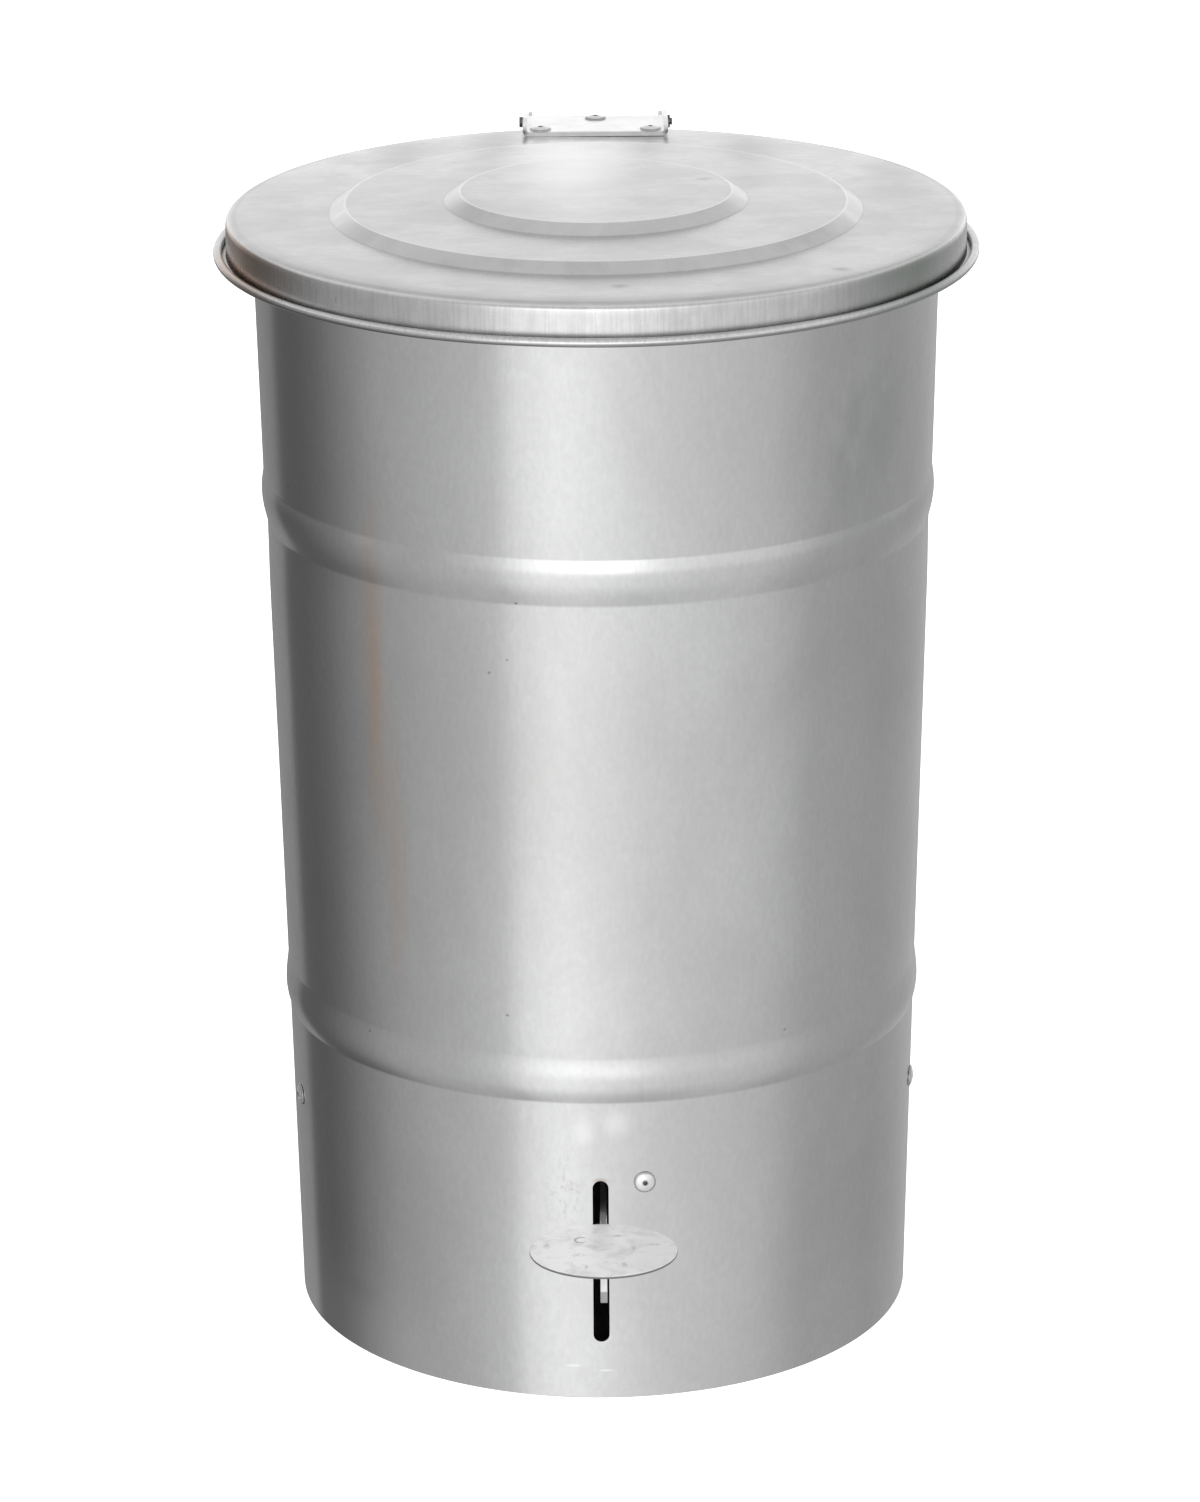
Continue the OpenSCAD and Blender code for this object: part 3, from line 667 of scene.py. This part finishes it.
def body_metal():
    """Rolled galvanized sheet, its grain upright, with clouds, pits, wipes, a brown run, and painted
    highlights over the dents above the front slot.
    """
    f = Finish("galvanized_body")
    clouds = f.noise((7, 7, 5), detail=4, roughness=0.6, distortion=0.4)
    haze = f.noise((30, 30, 18), detail=3, roughness=0.6)
    grain = f.noise((520, 520, 26), detail=4, roughness=0.65)
    fibre = f.noise((190, 190, 8), detail=3, roughness=0.6)
    mottle = f.noise((330, 330, 170), detail=3, roughness=0.7)
    crystal = f.spangle(0.006)
    light, dark = grey(0.74, (1, 1.005, 1.01)), grey(0.655, (0.995, 1, 0.99))
    colour = f.blend(f.ease(clouds, 0.35, 0.68), light, dark)
    colour = f.tinted(colour, haze, 0.35, grey(0.7))
    colour = f.tinted(colour, crystal, 0.12, grey(0.6))
    for place, size, strength, tint in BODY_STAINS:
        colour = f.marked(colour, place, size, strength, tint)
    colour = f.tinted(colour, f.times(f.spot(*GREEN_PATCH), f.ease(haze, 0.3, 0.65)), 0.5, STAIN_GREEN)
    colour = f.blend(f.ease(mottle, 0.32, 0.68, 0, 0.16), colour, grey(0.5))
    colour = f.tinted(colour, f.pits(spacing=0.05, size=0.0011, share=0.35), 0.6, PIT_GREY)
    for place in BODY_SPOTS:
        colour = f.marked(colour, place, BODY_SPOT_SIZE, 0.75, MARK_GREY)
    colour = f.marked(colour, *SLOT_BURR, 0.6, BURR_BROWN)
    # Lighter wipes, and painted highlights over the dents above the front slot
    for place, size, strength in BODY_WIPES_AND_HIGHLIGHTS:
        colour = f.marked(colour, place, size, strength, grey(0.98))
    colour = f.tinted(colour, f.times(f.ease(mottle, 0.54, 0.64), f.spot(*SCRATCHES)), 0.35, grey(0.4))
    rough = f.plus(f.ease(clouds, 0.3, 0.7, 0.13, 0.18), f.times(grain, 0.04), f.times(crystal, 0.02))
    height = f.plus(f.times(grain, 0.25), f.times(fibre, 0.6), f.times(mottle, 0.6))
    return f.finish(colour, rough, height, bump=0.3, depth=0.00012)


# Darker bands of the lid, painted reflections: places, sizes and strengths
LID_REFLECTION_BANDS = [
    ((-0.062, 0.17, OUTER_FIELD_Z), (0.024, 0.16, 0.06), 0.6),
    ((-0.12, 0.14, OUTER_FIELD_Z), (0.026, 0.09, 0.06), 0.5),
    ((0.03, 0.15, OUTER_FIELD_Z), (0.022, 0.16, 0.06), 0.5),
    ((0.092, 0.13, OUTER_FIELD_Z), (0.026, 0.14, 0.06), 0.6),
    ((0.18, 0.06, OUTER_FIELD_Z), (0.034, 0.1, 0.06), 0.45),
    ((-0.09, 0.0, OUTER_FIELD_Z), (0.035, 0.07, 0.06), 0.35),
]
# Painted highlight on the back of the lid
LID_PAINTED_SHEEN = ((-0.015, 0.08, OUTER_FIELD_Z), (0.05, 0.2, 0.06))
LID_SMUDGES = [
    (0.013, -0.181, OUTER_FIELD_Z), (0.138, -0.146, OUTER_FIELD_Z), (0.013, 0.093, MIDDLE_FIELD_Z),
    (0.056, 0.071, MIDDLE_FIELD_Z), (0.064, 0.025, MIDDLE_FIELD_Z),
]
LID_SMUDGE_SIZE = (0.008, 0.007, 0.02)
SKIRT_MARKS = [(-0.157, -0.149, OUTER_FIELD_Z - 0.011), (-0.146, -0.16, OUTER_FIELD_Z - 0.012)]
SKIRT_MARK_SIZE = (0.0018, 0.0018, 0.004)
# Brownish and greenish patches at the ends of the lid's skirt, partly stains and partly painted reflection:
# places and colours
SKIRT_STAINS_AND_REFLECTIONS = [
    ((-0.205, -0.07, OUTER_FIELD_Z), (0.5, 0.33, 0.23, 1)),
    ((0.18, -0.12, OUTER_FIELD_Z), (0.33, 0.37, 0.34, 1)),
]
SKIRT_PATCH_SIZE = (0.09, 0.1, 0.05)


def lid_fields(f, radius):
    """Two masks: 0 on the lid's steps, and 0 on its steps and its edge."""
    plain = 1.0
    for step_r in (UPPER_STEP_R, LOWER_STEP_R):
        from_step = f.off(radius, step_r - STEP_RUN / 2)
        plain = f.times(plain, f.ease(from_step, STEP_RUN / 2, STEP_RUN / 2 + 0.001))
    return plain, f.times(plain, f.ease(radius, LID_SKIRT_R - 0.006, LID_SKIRT_R - 0.004, 1, 0))


def lid_painted_lines(f, colour, radius):
    """The colour, with painted light and shade: thin light and dark lines along the lid's bends, painted
    shade in the groove at its edge, and a painted highlight on its bead's crest with painted shade under
    it.
    """
    level = f.axis("Z")
    for step_r in (UPPER_STEP_R, LOWER_STEP_R):
        # Painted shade along the foot of each step, and a painted highlight along its crest
        colour = f.tinted(colour, f.ring(radius, step_r, 0.0011), 0.4, grey(0.4))
        colour = f.tinted(colour, f.ring(radius, step_r - STEP_RUN, 0.001), 0.6, grey(0.97))
    # Painted shade in the groove between the skirt and the rolled edge
    below = f.ease(level, LID_FOOT_Z + 0.003, LID_FOOT_Z + 0.008, 1, 0)
    groove_shade = f.times(f.ring(radius, LID_SKIRT_R + 0.0015, 0.0022), below)
    colour = f.tinted(colour, groove_shade, 0.85, grey(0.2))
    # Painted shade just inside the outer bend, and a painted highlight along the bend
    colour = f.tinted(colour, f.ring(radius, LID_SKIRT_R - LID_BEND_R - 0.001, 0.003), 0.35, grey(0.4))
    colour = f.tinted(colour, f.ring(radius, LID_SKIRT_R - 0.0011, 0.0009), 0.8, WHITE)
    # Painted highlight along the bead's crest, and painted shade under the bead
    bead = f.ease(radius, LID_R - 0.0035, LID_R - 0.0025)
    crest = f.times(bead, f.ring(level, LID_FOOT_Z + 0.0029, 0.0009))
    colour = f.tinted(colour, crest, 0.9, WHITE)
    under = f.times(bead, f.ease(level, LID_FOOT_Z + 0.0008, LID_FOOT_Z + 0.002, 1, 0))
    return f.tinted(colour, under, 0.7, grey(0.25))


def skirt_marks(f, colour, radius):
    """The colour, with small marks, upright strokes, and stains with painted reflection at the ends of the
    lid's skirt.
    """
    skirt = f.ease(radius, LID_SKIRT_R - 0.002, LID_SKIRT_R)
    for place in SKIRT_MARKS:
        colour = f.marked(colour, place, SKIRT_MARK_SIZE, 0.8, grey(0.15))
    strokes = f.ease(f.noise((500, 500, 30), detail=3, roughness=0.6), 0.4, 0.62)
    colour = f.tinted(colour, f.times(strokes, skirt), 0.28, grey(0.5))
    # Stains, partly painted reflection, at the skirt's ends
    for place, tint in SKIRT_STAINS_AND_REFLECTIONS:
        colour = f.tinted(colour, f.times(f.spot(place, SKIRT_PATCH_SIZE), skirt), 0.8, tint)
    return colour


def lid_metal():
    """Rolled galvanized sheet, its grain across, with cloudy wipes and small smudges, and painted light:
    reflections as darker bands, a highlight on its back, shade towards its front, and lines of light and
    shade along its bends and edge.
    """
    f = Finish("galvanized_lid")
    wipes = f.noise((20, 34, 20), detail=4, roughness=0.6, distortion=0.3)
    clouds = f.noise((34, 26, 34), detail=4, roughness=0.6, distortion=0.3)
    mottle = f.noise((110, 200, 110), detail=4, roughness=0.65, distortion=0.3)
    grain = f.noise((24, 620, 520), detail=4, roughness=0.65)
    draw = f.noise((420, 420, 10), detail=3, roughness=0.6)
    radius = f.flat_distance(0, 0)
    plain, flat = lid_fields(f, radius)
    light, dark = grey(0.8, (1, 1.003, 1.006)), grey(0.74, (1, 1, 0.995))
    colour = f.blend(f.ease(wipes, 0.36, 0.66), light, dark)
    colour = f.blend(f.ease(clouds, 0.5, 0.72, 0, 0.5), colour, grey(0.62))
    colour = f.blend(f.ease(clouds, 0.28, 0.44, 0.4, 0), colour, grey(0.92))
    colour = f.blend(f.times(f.ease(mottle, 0.35, 0.65, 0, 0.2), plain), colour, grey(0.56))
    colour = f.tinted(colour, f.spangle(0.006), 0.1, grey(0.62))
    # Painted shade: the flat fields grow darker towards the lid's front
    near = f.times(flat, f.ease(f.axis("Y"), -0.03, 0.13, 1, 0))
    colour = f.tinted(colour, near, 0.35, grey(0.5))
    # Painted reflections: darker bands across the lid
    for place, size, strength in LID_REFLECTION_BANDS:
        colour = f.marked(colour, place, size, strength, grey(0.5))
    # Painted highlight on the lid's back
    colour = f.marked(colour, *LID_PAINTED_SHEEN, 0.9, WHITE)
    for place in LID_SMUDGES:
        colour = f.marked(colour, place, LID_SMUDGE_SIZE, 0.6, grey(0.3))
    colour = lid_painted_lines(f, colour, radius)
    colour = skirt_marks(f, colour, radius)
    colour = f.tinted(colour, f.pits(spacing=0.045, size=0.001, share=0.3), 0.6, PIT_GREY)
    rough = f.plus(f.ease(wipes, 0.3, 0.7, 0.22, 0.26), f.times(grain, 0.08))
    across = f.times(f.times(grain, plain), f.ease(flat, 0, 1, 0.1, 0.45))
    height = f.plus(across, f.times(draw, f.ease(plain, 0, 1, 0.03, 0.12)))
    return f.finish(colour, rough, height, bump=0.3, depth=0.00012)


def dipped_metal():
    """Hot-dipped steel: thick, slightly lumpy zinc with grey dross marks."""
    f = Finish("dipped_zinc")
    lumps = f.noise((110, 110, 110), detail=3, roughness=0.55)
    dross = f.ease(f.noise((95, 300, 200), detail=3, roughness=0.6, distortion=0.6), 0.6, 0.68)
    clouds = f.noise((30, 30, 30), detail=3, roughness=0.6, distortion=0.5)
    colour = f.blend(f.ease(clouds, 0.35, 0.65), grey(0.86), grey(0.76))
    colour = f.tinted(colour, f.spangle(0.004), 0.15, grey(0.62))
    colour = f.tinted(colour, dross, 0.4, grey(0.45))
    rough = f.plus(f.ease(clouds, 0.3, 0.7, 0.32, 0.42), f.times(dross, 0.15))
    height = f.plus(f.times(lumps, 0.8), f.times(dross, 0.25))
    return f.finish(colour, rough, height, bump=0.3, depth=0.0004, metallic=0.8)


# Dross marks of the pedal's tread: x and y from its middle, and half their width and depth
TREAD_MARKS = [
    (-0.033, 0.006, 0.0035, 0.006), (-0.014, -0.007, 0.006, 0.003), (0.008, 0.02, 0.009, 0.0025),
    (0.012, -0.021, 0.003, 0.006), (0.03, 0.007, 0.005, 0.002), (-0.01, -0.024, 0.0015, 0.004),
    (0.017, 0.002, 0.003, 0.004),
]
# Hooked mark of the tread: x and y from its middle, its radius and its width
TREAD_HOOK = (-0.013, 0.014, 0.0036, 0.0012)


def pedal_metal():
    """Dull hot-dipped tread, lighter on its left, with small grey dross marks and a dark edge."""
    f = Finish("dipped_pedal")
    low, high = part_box("pedal_plate")
    middle = (low + high) / 2
    x_axis = f.axis("X")
    clouds = f.noise((70, 70, 70), detail=4, roughness=0.65, distortion=0.6)
    lumps = f.noise((130, 130, 130), detail=3, roughness=0.55)
    dross = f.ease(f.noise((150, 300, 200), detail=3, roughness=0.6, distortion=0.8), 0.64, 0.72)
    colour = f.blend(f.ease(x_axis, -0.02, 0.03), grey(0.99), grey(0.88))
    colour = f.blend(f.ease(clouds, 0.45, 0.7, 0, 0.8), colour, grey(0.74))
    worn = f.spot((middle.x + 0.004, middle.y + 0.002, high.z), (0.024, 0.02, 0.01))
    colour = f.tinted(colour, f.times(worn, f.ease(clouds, 0.35, 0.6)), 0.5, grey(0.6))
    colour = f.tinted(colour, dross, 0.35, grey(0.5))
    broken = f.ease(f.noise((600, 800, 400), detail=2, roughness=0.6), 0.4, 0.54)
    for x, y, wide, deep in TREAD_MARKS:
        mark = f.spot((middle.x + x, middle.y + y, high.z), (wide, deep, 0.01))
        colour = f.tinted(colour, f.times(mark, broken), 0.65, grey(0.38))
    x, y, size, width = TREAD_HOOK
    bend = f.ring(f.flat_distance(middle.x + x, middle.y + y), size, width)
    left_half = f.ease(x_axis, middle.x + x, middle.x + x + size, 1, 0)
    colour = f.tinted(colour, f.times(bend, left_half), 0.8, grey(0.3))
    edge = f.ease(f.axis("Z"), high.z - 0.0009, high.z - 0.0003, 1, 0)
    colour = f.tinted(colour, edge, 0.95, MARK_GREY)
    rough = f.ease(clouds, 0.3, 0.7, 0.4, 0.5)
    height = f.plus(lumps, f.times(dross, 0.4))
    return f.finish(colour, rough, height, bump=0.25, depth=0.0004, metallic=0.4)


def bracket_metal():
    """Bright dipped strip of the lid's bracket, with a darker front edge, painted shade on its upturned
    ears and painted shadow at its bent corners.
    """
    f = Finish("dipped_bracket")
    clouds = f.noise((60, 60, 60), detail=4, roughness=0.6, distortion=0.5)
    low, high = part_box("lid_bracket")
    plate_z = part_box("lid_bracket_rivets")[1].z - RIVET_HEAD_H
    front_edge = f.ease(f.axis("Y"), low.y + 0.0015, low.y + 0.0035, 1, 0)
    # Painted shade on the upturned ears
    ear_shade = f.ease(f.axis("Z"), plate_z + 0.001, plate_z + 0.003)
    colour = f.blend(f.ease(clouds, 0.4, 0.7), grey(0.98), grey(0.9))
    colour = f.tinted(colour, front_edge, 0.7, grey(0.45))
    colour = f.tinted(colour, ear_shade, 0.4, grey(0.45))
    # Painted shadow in the gaps under the bent corners
    for x in (low.x, high.x):
        colour = f.marked(colour, (x, low.y, plate_z), (0.005, 0.003, 0.004), 1.0, PAINTED_SHADE_GREY)
    rough = f.ease(clouds, 0.3, 0.7, 0.38, 0.48)
    return f.finish(colour, rough, clouds, bump=0.2, depth=0.0004, metallic=0.4)


def rivet_metal(places):
    """Bright rivets with painted shade in the mandrel hole and around the rim; places are the middles of
    their heads.
    """
    f = Finish("wall_rivet")
    scuffs = f.noise((240, 240, 240), detail=3, roughness=0.6)
    colour = f.blend(f.ease(scuffs, 0.35, 0.7), grey(0.84), grey(0.76))
    for place in places:
        away = f.distance(place)
        # Painted shade in the mandrel hole, and around the head's rim
        colour = f.tinted(colour, f.ease(away, 0.0012, 0.0022, 1, 0), 0.9, PAINTED_SHADE_GREY)
        colour = f.tinted(colour, f.ring(away, RIVET_HEAD_R - 0.0003, 0.0011), 0.75, grey(0.25))
    rough = f.ease(scuffs, 0.3, 0.7, 0.24, 0.32)
    return f.finish(colour, rough, scuffs, bump=0.05, depth=0.0002, metallic=0.75)


def rivet_tops():
    """The middles of the rivet heads of the wall and of the lid's bracket."""
    tops = [wall_place(a, FLOOR_RIVET_Z, RIVET_HEAD_H) for a in FLOOR_RIVET_AZIMUTHS]
    for name in ("lid_bracket_rivets", "lift_tab_rivet"):
        low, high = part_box(name)
        tops += [(x, (low.y + high.y) / 2, high.z) for x in (low.x + RIVET_HEAD_R, high.x - RIVET_HEAD_R)]
    return tops


def plain_metal(name, light, dark, rough, scale, bump=0.15):
    """Plated steel with fine scuffs."""
    f = Finish(name)
    scuffs = f.noise((scale, scale, scale * 0.3), detail=4, roughness=0.6)
    colour = f.blend(f.ease(scuffs, 0.35, 0.7), grey(light), grey(dark))
    return f.finish(colour, f.ease(scuffs, 0.3, 0.7, rough, rough + 0.1), scuffs, bump, depth=0.0002)


# Studio

# Light from just below the horizon, as an upright wall shows it, and from above it, by azimuth
LOW_LIGHT = [
    (-180, 0.3), (-143.5, 0.28), (-139, 0.12), (-122, 0.12), (-110, 0.16), (-92, 0.3), (-82, 0.4),
    (-50, 0.56), (-35, 0.68), (-29, 0.98), (-14, 1.2), (8, 0.97), (16, 0.88), (30, 0.8), (60, 0.64),
    (80, 0.46), (120, 0.39), (140, 0.43), (165, 0.5), (180, 0.3),
]
HIGH_LIGHT = [
    (-180, 1.06), (-155, 1.0), (-135, 0.25), (-125, 0.17), (-106, 0.21), (-96, 0.27), (-86, 0.43),
    (-70, 0.47), (-54, 0.52), (-48, 0.62), (-36, 0.78), (-33, 0.9), (-22, 1.5), (-12, 1.7), (8, 1.7),
    (15, 1.3), (24, 1.05), (43, 0.9), (58, 0.8), (74, 0.6), (92, 0.47), (108, 0.44), (121, 0.5),
    (135, 0.55), (155, 1.0), (180, 1.06),
]
# Light from straight below, as a share of the light from just below the horizon
UNDER_SHARE = [
    (-180, 1.0), (-75, 1.0), (-60, 0.95), (-45, 0.87), (-30, 0.75), (-20, 0.66), (20, 0.66), (30, 0.75),
    (45, 0.87), (60, 0.95), (75, 1.0), (180, 1.0),
]
ZENITH_LIGHT = 0.61
FLOOR_HALF_W = 8
FLOOR_DROP = 0.0002
FLOOR_GLOW = 0.72

# Softboxes: name, place, width and power
LAMPS = [
    ("key", (-1.6, -2.4, 2.8), 2.0, 55),
    ("fill", (2.4, -1.2, 2.2), 2.4, 30),
    ("back", (0.4, 2.6, 2.6), 2.4, 30),
]
LAMP_TARGET = (0, 0, 0.3)


def ring_ramp(sky, turn, levels):
    """Light by azimuth: levels are (degrees, level), and turn is 0..1 from -180 to 180 degrees."""
    ramp = sky.add("ValToRGB", {"Fac": turn})
    elements = ramp.color_ramp.elements
    while len(elements) < len(levels):
        elements.new(0.5)
    for element, (degrees, level) in zip(elements, levels):
        element.position = degrees / 360 + 0.5
        element.color = grey(level)
    return ramp.outputs["Color"]


def make_world():
    """A white studio, with soft panels and dark gaps around the part."""
    world = bpy.data.worlds.new("studio")
    scene.world = world
    world.use_nodes = True
    sky = Nodes(world.node_tree)
    direction = sky.add("TexCoord").outputs["Generated"]
    axes = sky.add("SeparateXYZ", {"Vector": direction}).outputs
    azimuth = sky.math("ARCTAN2", axes["X"], sky.times(axes["Y"], -1))
    inputs = {"Value": azimuth, "From Min": -math.pi, "From Max": math.pi}
    turn = sky.add("MapRange", inputs).outputs["Result"]
    low, high, share = [ring_ramp(sky, turn, levels) for levels in (LOW_LIGHT, HIGH_LIGHT, UNDER_SHARE)]
    under = sky.add("VectorMath", {0: low, 1: share}, operation="MULTIPLY").outputs["Vector"]
    light = sky.blend(sky.ease(axes["Z"], -0.2, -0.07), low, high)
    light = sky.blend(sky.ease(axes["Z"], -0.9, -0.4), under, light)
    light = sky.blend(sky.ease(axes["Z"], 0.27, 0.47), light, grey(ZENITH_LIGHT))
    seen = sky.add("LightPath").outputs["Is Camera Ray"]
    studio = sky.add("Background", {"Color": light, "Strength": 1.0})
    shown = sky.add("Background", {"Color": WHITE, "Strength": 1.0})
    both = sky.add("MixShader", {0: seen, 1: studio.outputs[0], 2: shown.outputs[0]})
    sky.close("OutputWorld", both)


def make_floor():
    """A white floor that keeps the part's shadow, and a darker disc of painted shade on the ground under
    its foot.
    """
    grid = bmesh.new()
    bmesh.ops.create_grid(grid, x_segments=1, y_segments=1, size=FLOOR_HALF_W)
    floor = add_mesh("floor", grid)
    floor.location.z = -FLOOR_DROP
    f = Finish("white_floor")
    lit = f.add("BsdfDiffuse", {"Color": grey(0.85)})
    glow = f.add("Emission", {"Color": WHITE, "Strength": FLOOR_GLOW})
    dark = f.add("Emission", {"Color": grey(0.0), "Strength": 0})
    seen = f.add("LightPath").outputs["Is Camera Ray"]
    extra = f.add("MixShader", {0: seen, 1: dark.outputs[0], 2: glow.outputs[0]})
    f.close("OutputMaterial", f.add("AddShader", {0: lit.outputs[0], 1: extra.outputs[0]}))
    floor.data.materials.append(f.material)
    floor.visible_glossy = False
    # Painted shade: a darker grey disc on the floor under the foot
    disc = bmesh.new()
    bmesh.ops.create_circle(disc, cap_ends=True, segments=96, radius=FOOT_R - 2 * SHEET_T)
    patch = add_mesh("floor_under_foot", disc)
    g = Finish("shaded_floor")
    g.close("OutputMaterial", g.add("BsdfDiffuse", {"Color": grey(0.4)}))
    patch.data.materials.append(g.material)


def make_lamp(name, place, width, power):
    """A square softbox that faces the part, and isn't mirrored in it."""
    lamp = bpy.data.lights.new(name, "AREA")
    lamp.energy = power
    lamp.size = width
    holder = bpy.data.objects.new(name, lamp)
    holder.location = place
    holder.rotation_euler = (Vector(LAMP_TARGET) - Vector(place)).to_track_quat("-Z", "Y").to_euler()
    holder.visible_glossy = False
    scene.collection.objects.link(holder)


def make_camera():
    """The photograph's camera."""
    data = bpy.data.cameras.new("camera")
    data.lens = CAMERA_LENS_MM
    data.sensor_width = SENSOR_MM
    camera = bpy.data.objects.new("camera", data)
    camera.location = CAMERA_PLACE
    camera.rotation_euler = (math.radians(CAMERA_PITCH), 0, 0)
    camera.rotation_euler.rotate_axis("Z", math.radians(CAMERA_ROLL))
    scene.collection.objects.link(camera)
    scene.camera = camera


# Scene


def dress(piece, material):
    """Gives a piece its finish."""
    piece.data.materials.clear()
    piece.data.materials.append(material)


def stand_in(piece, material, body, node):
    """Gives a piece its finish and its body, and shows it in place of a node."""
    dress(piece, material)
    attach(piece, body)
    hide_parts(node)


make_camera()
make_world()
make_floor()
for lamp in LAMPS:
    make_lamp(*lamp)
scene.view_settings.view_transform = "Standard"

body_finish = body_metal()
stand_in(make_body(), body_finish, "bin", "body_shell")
stand_in(make_lid(), lid_metal(), "lid", "lid")
pedal = make_pedal()
stand_in(pedal, pedal_metal(), "pedal", "pedal_plate")
# The wall is too dull to mirror the tread and its lever
pedal.visible_glossy = False
frame["nodes"]["pedal_lever"].visible_glossy = False

slot_finishes = {
    "galvanized_sheet": body_finish,
    "dipped_steel": dipped_metal(),
    "zinc_fastener": plain_metal("zinc_fastener_finish", 0.88, 0.8, rough=0.17, scale=240, bump=0.04),
    "plated_rod": plain_metal("plated_rod_finish", 0.66, 0.52, rough=0.24, scale=300),
}
for node in frame["nodes"].values():
    if node.data.materials and not node.hide_render:
        dress(node, slot_finishes[node.data.materials[0].name.split(".")[0]])

pin_finish = plain_metal("oiled_pin_finish", 0.2, 0.1, rough=0.3, scale=300)
rivet_finish = rivet_metal(rivet_tops())
own_finishes = {
    "hinge_pin": pin_finish, "hinge_pin_clip": pin_finish, "lid_bracket": bracket_metal(),
    "floor_rivets": rivet_finish, "lid_bracket_rivets": rivet_finish, "lift_tab_rivet": rivet_finish,
}
for name, finish in own_finishes.items():
    dress(frame["nodes"][name], finish)
for name in ("hinge_base", "lid_bracket", "lift_tab", "pedal_lever", "pivot_bracket"):
    soften(name)
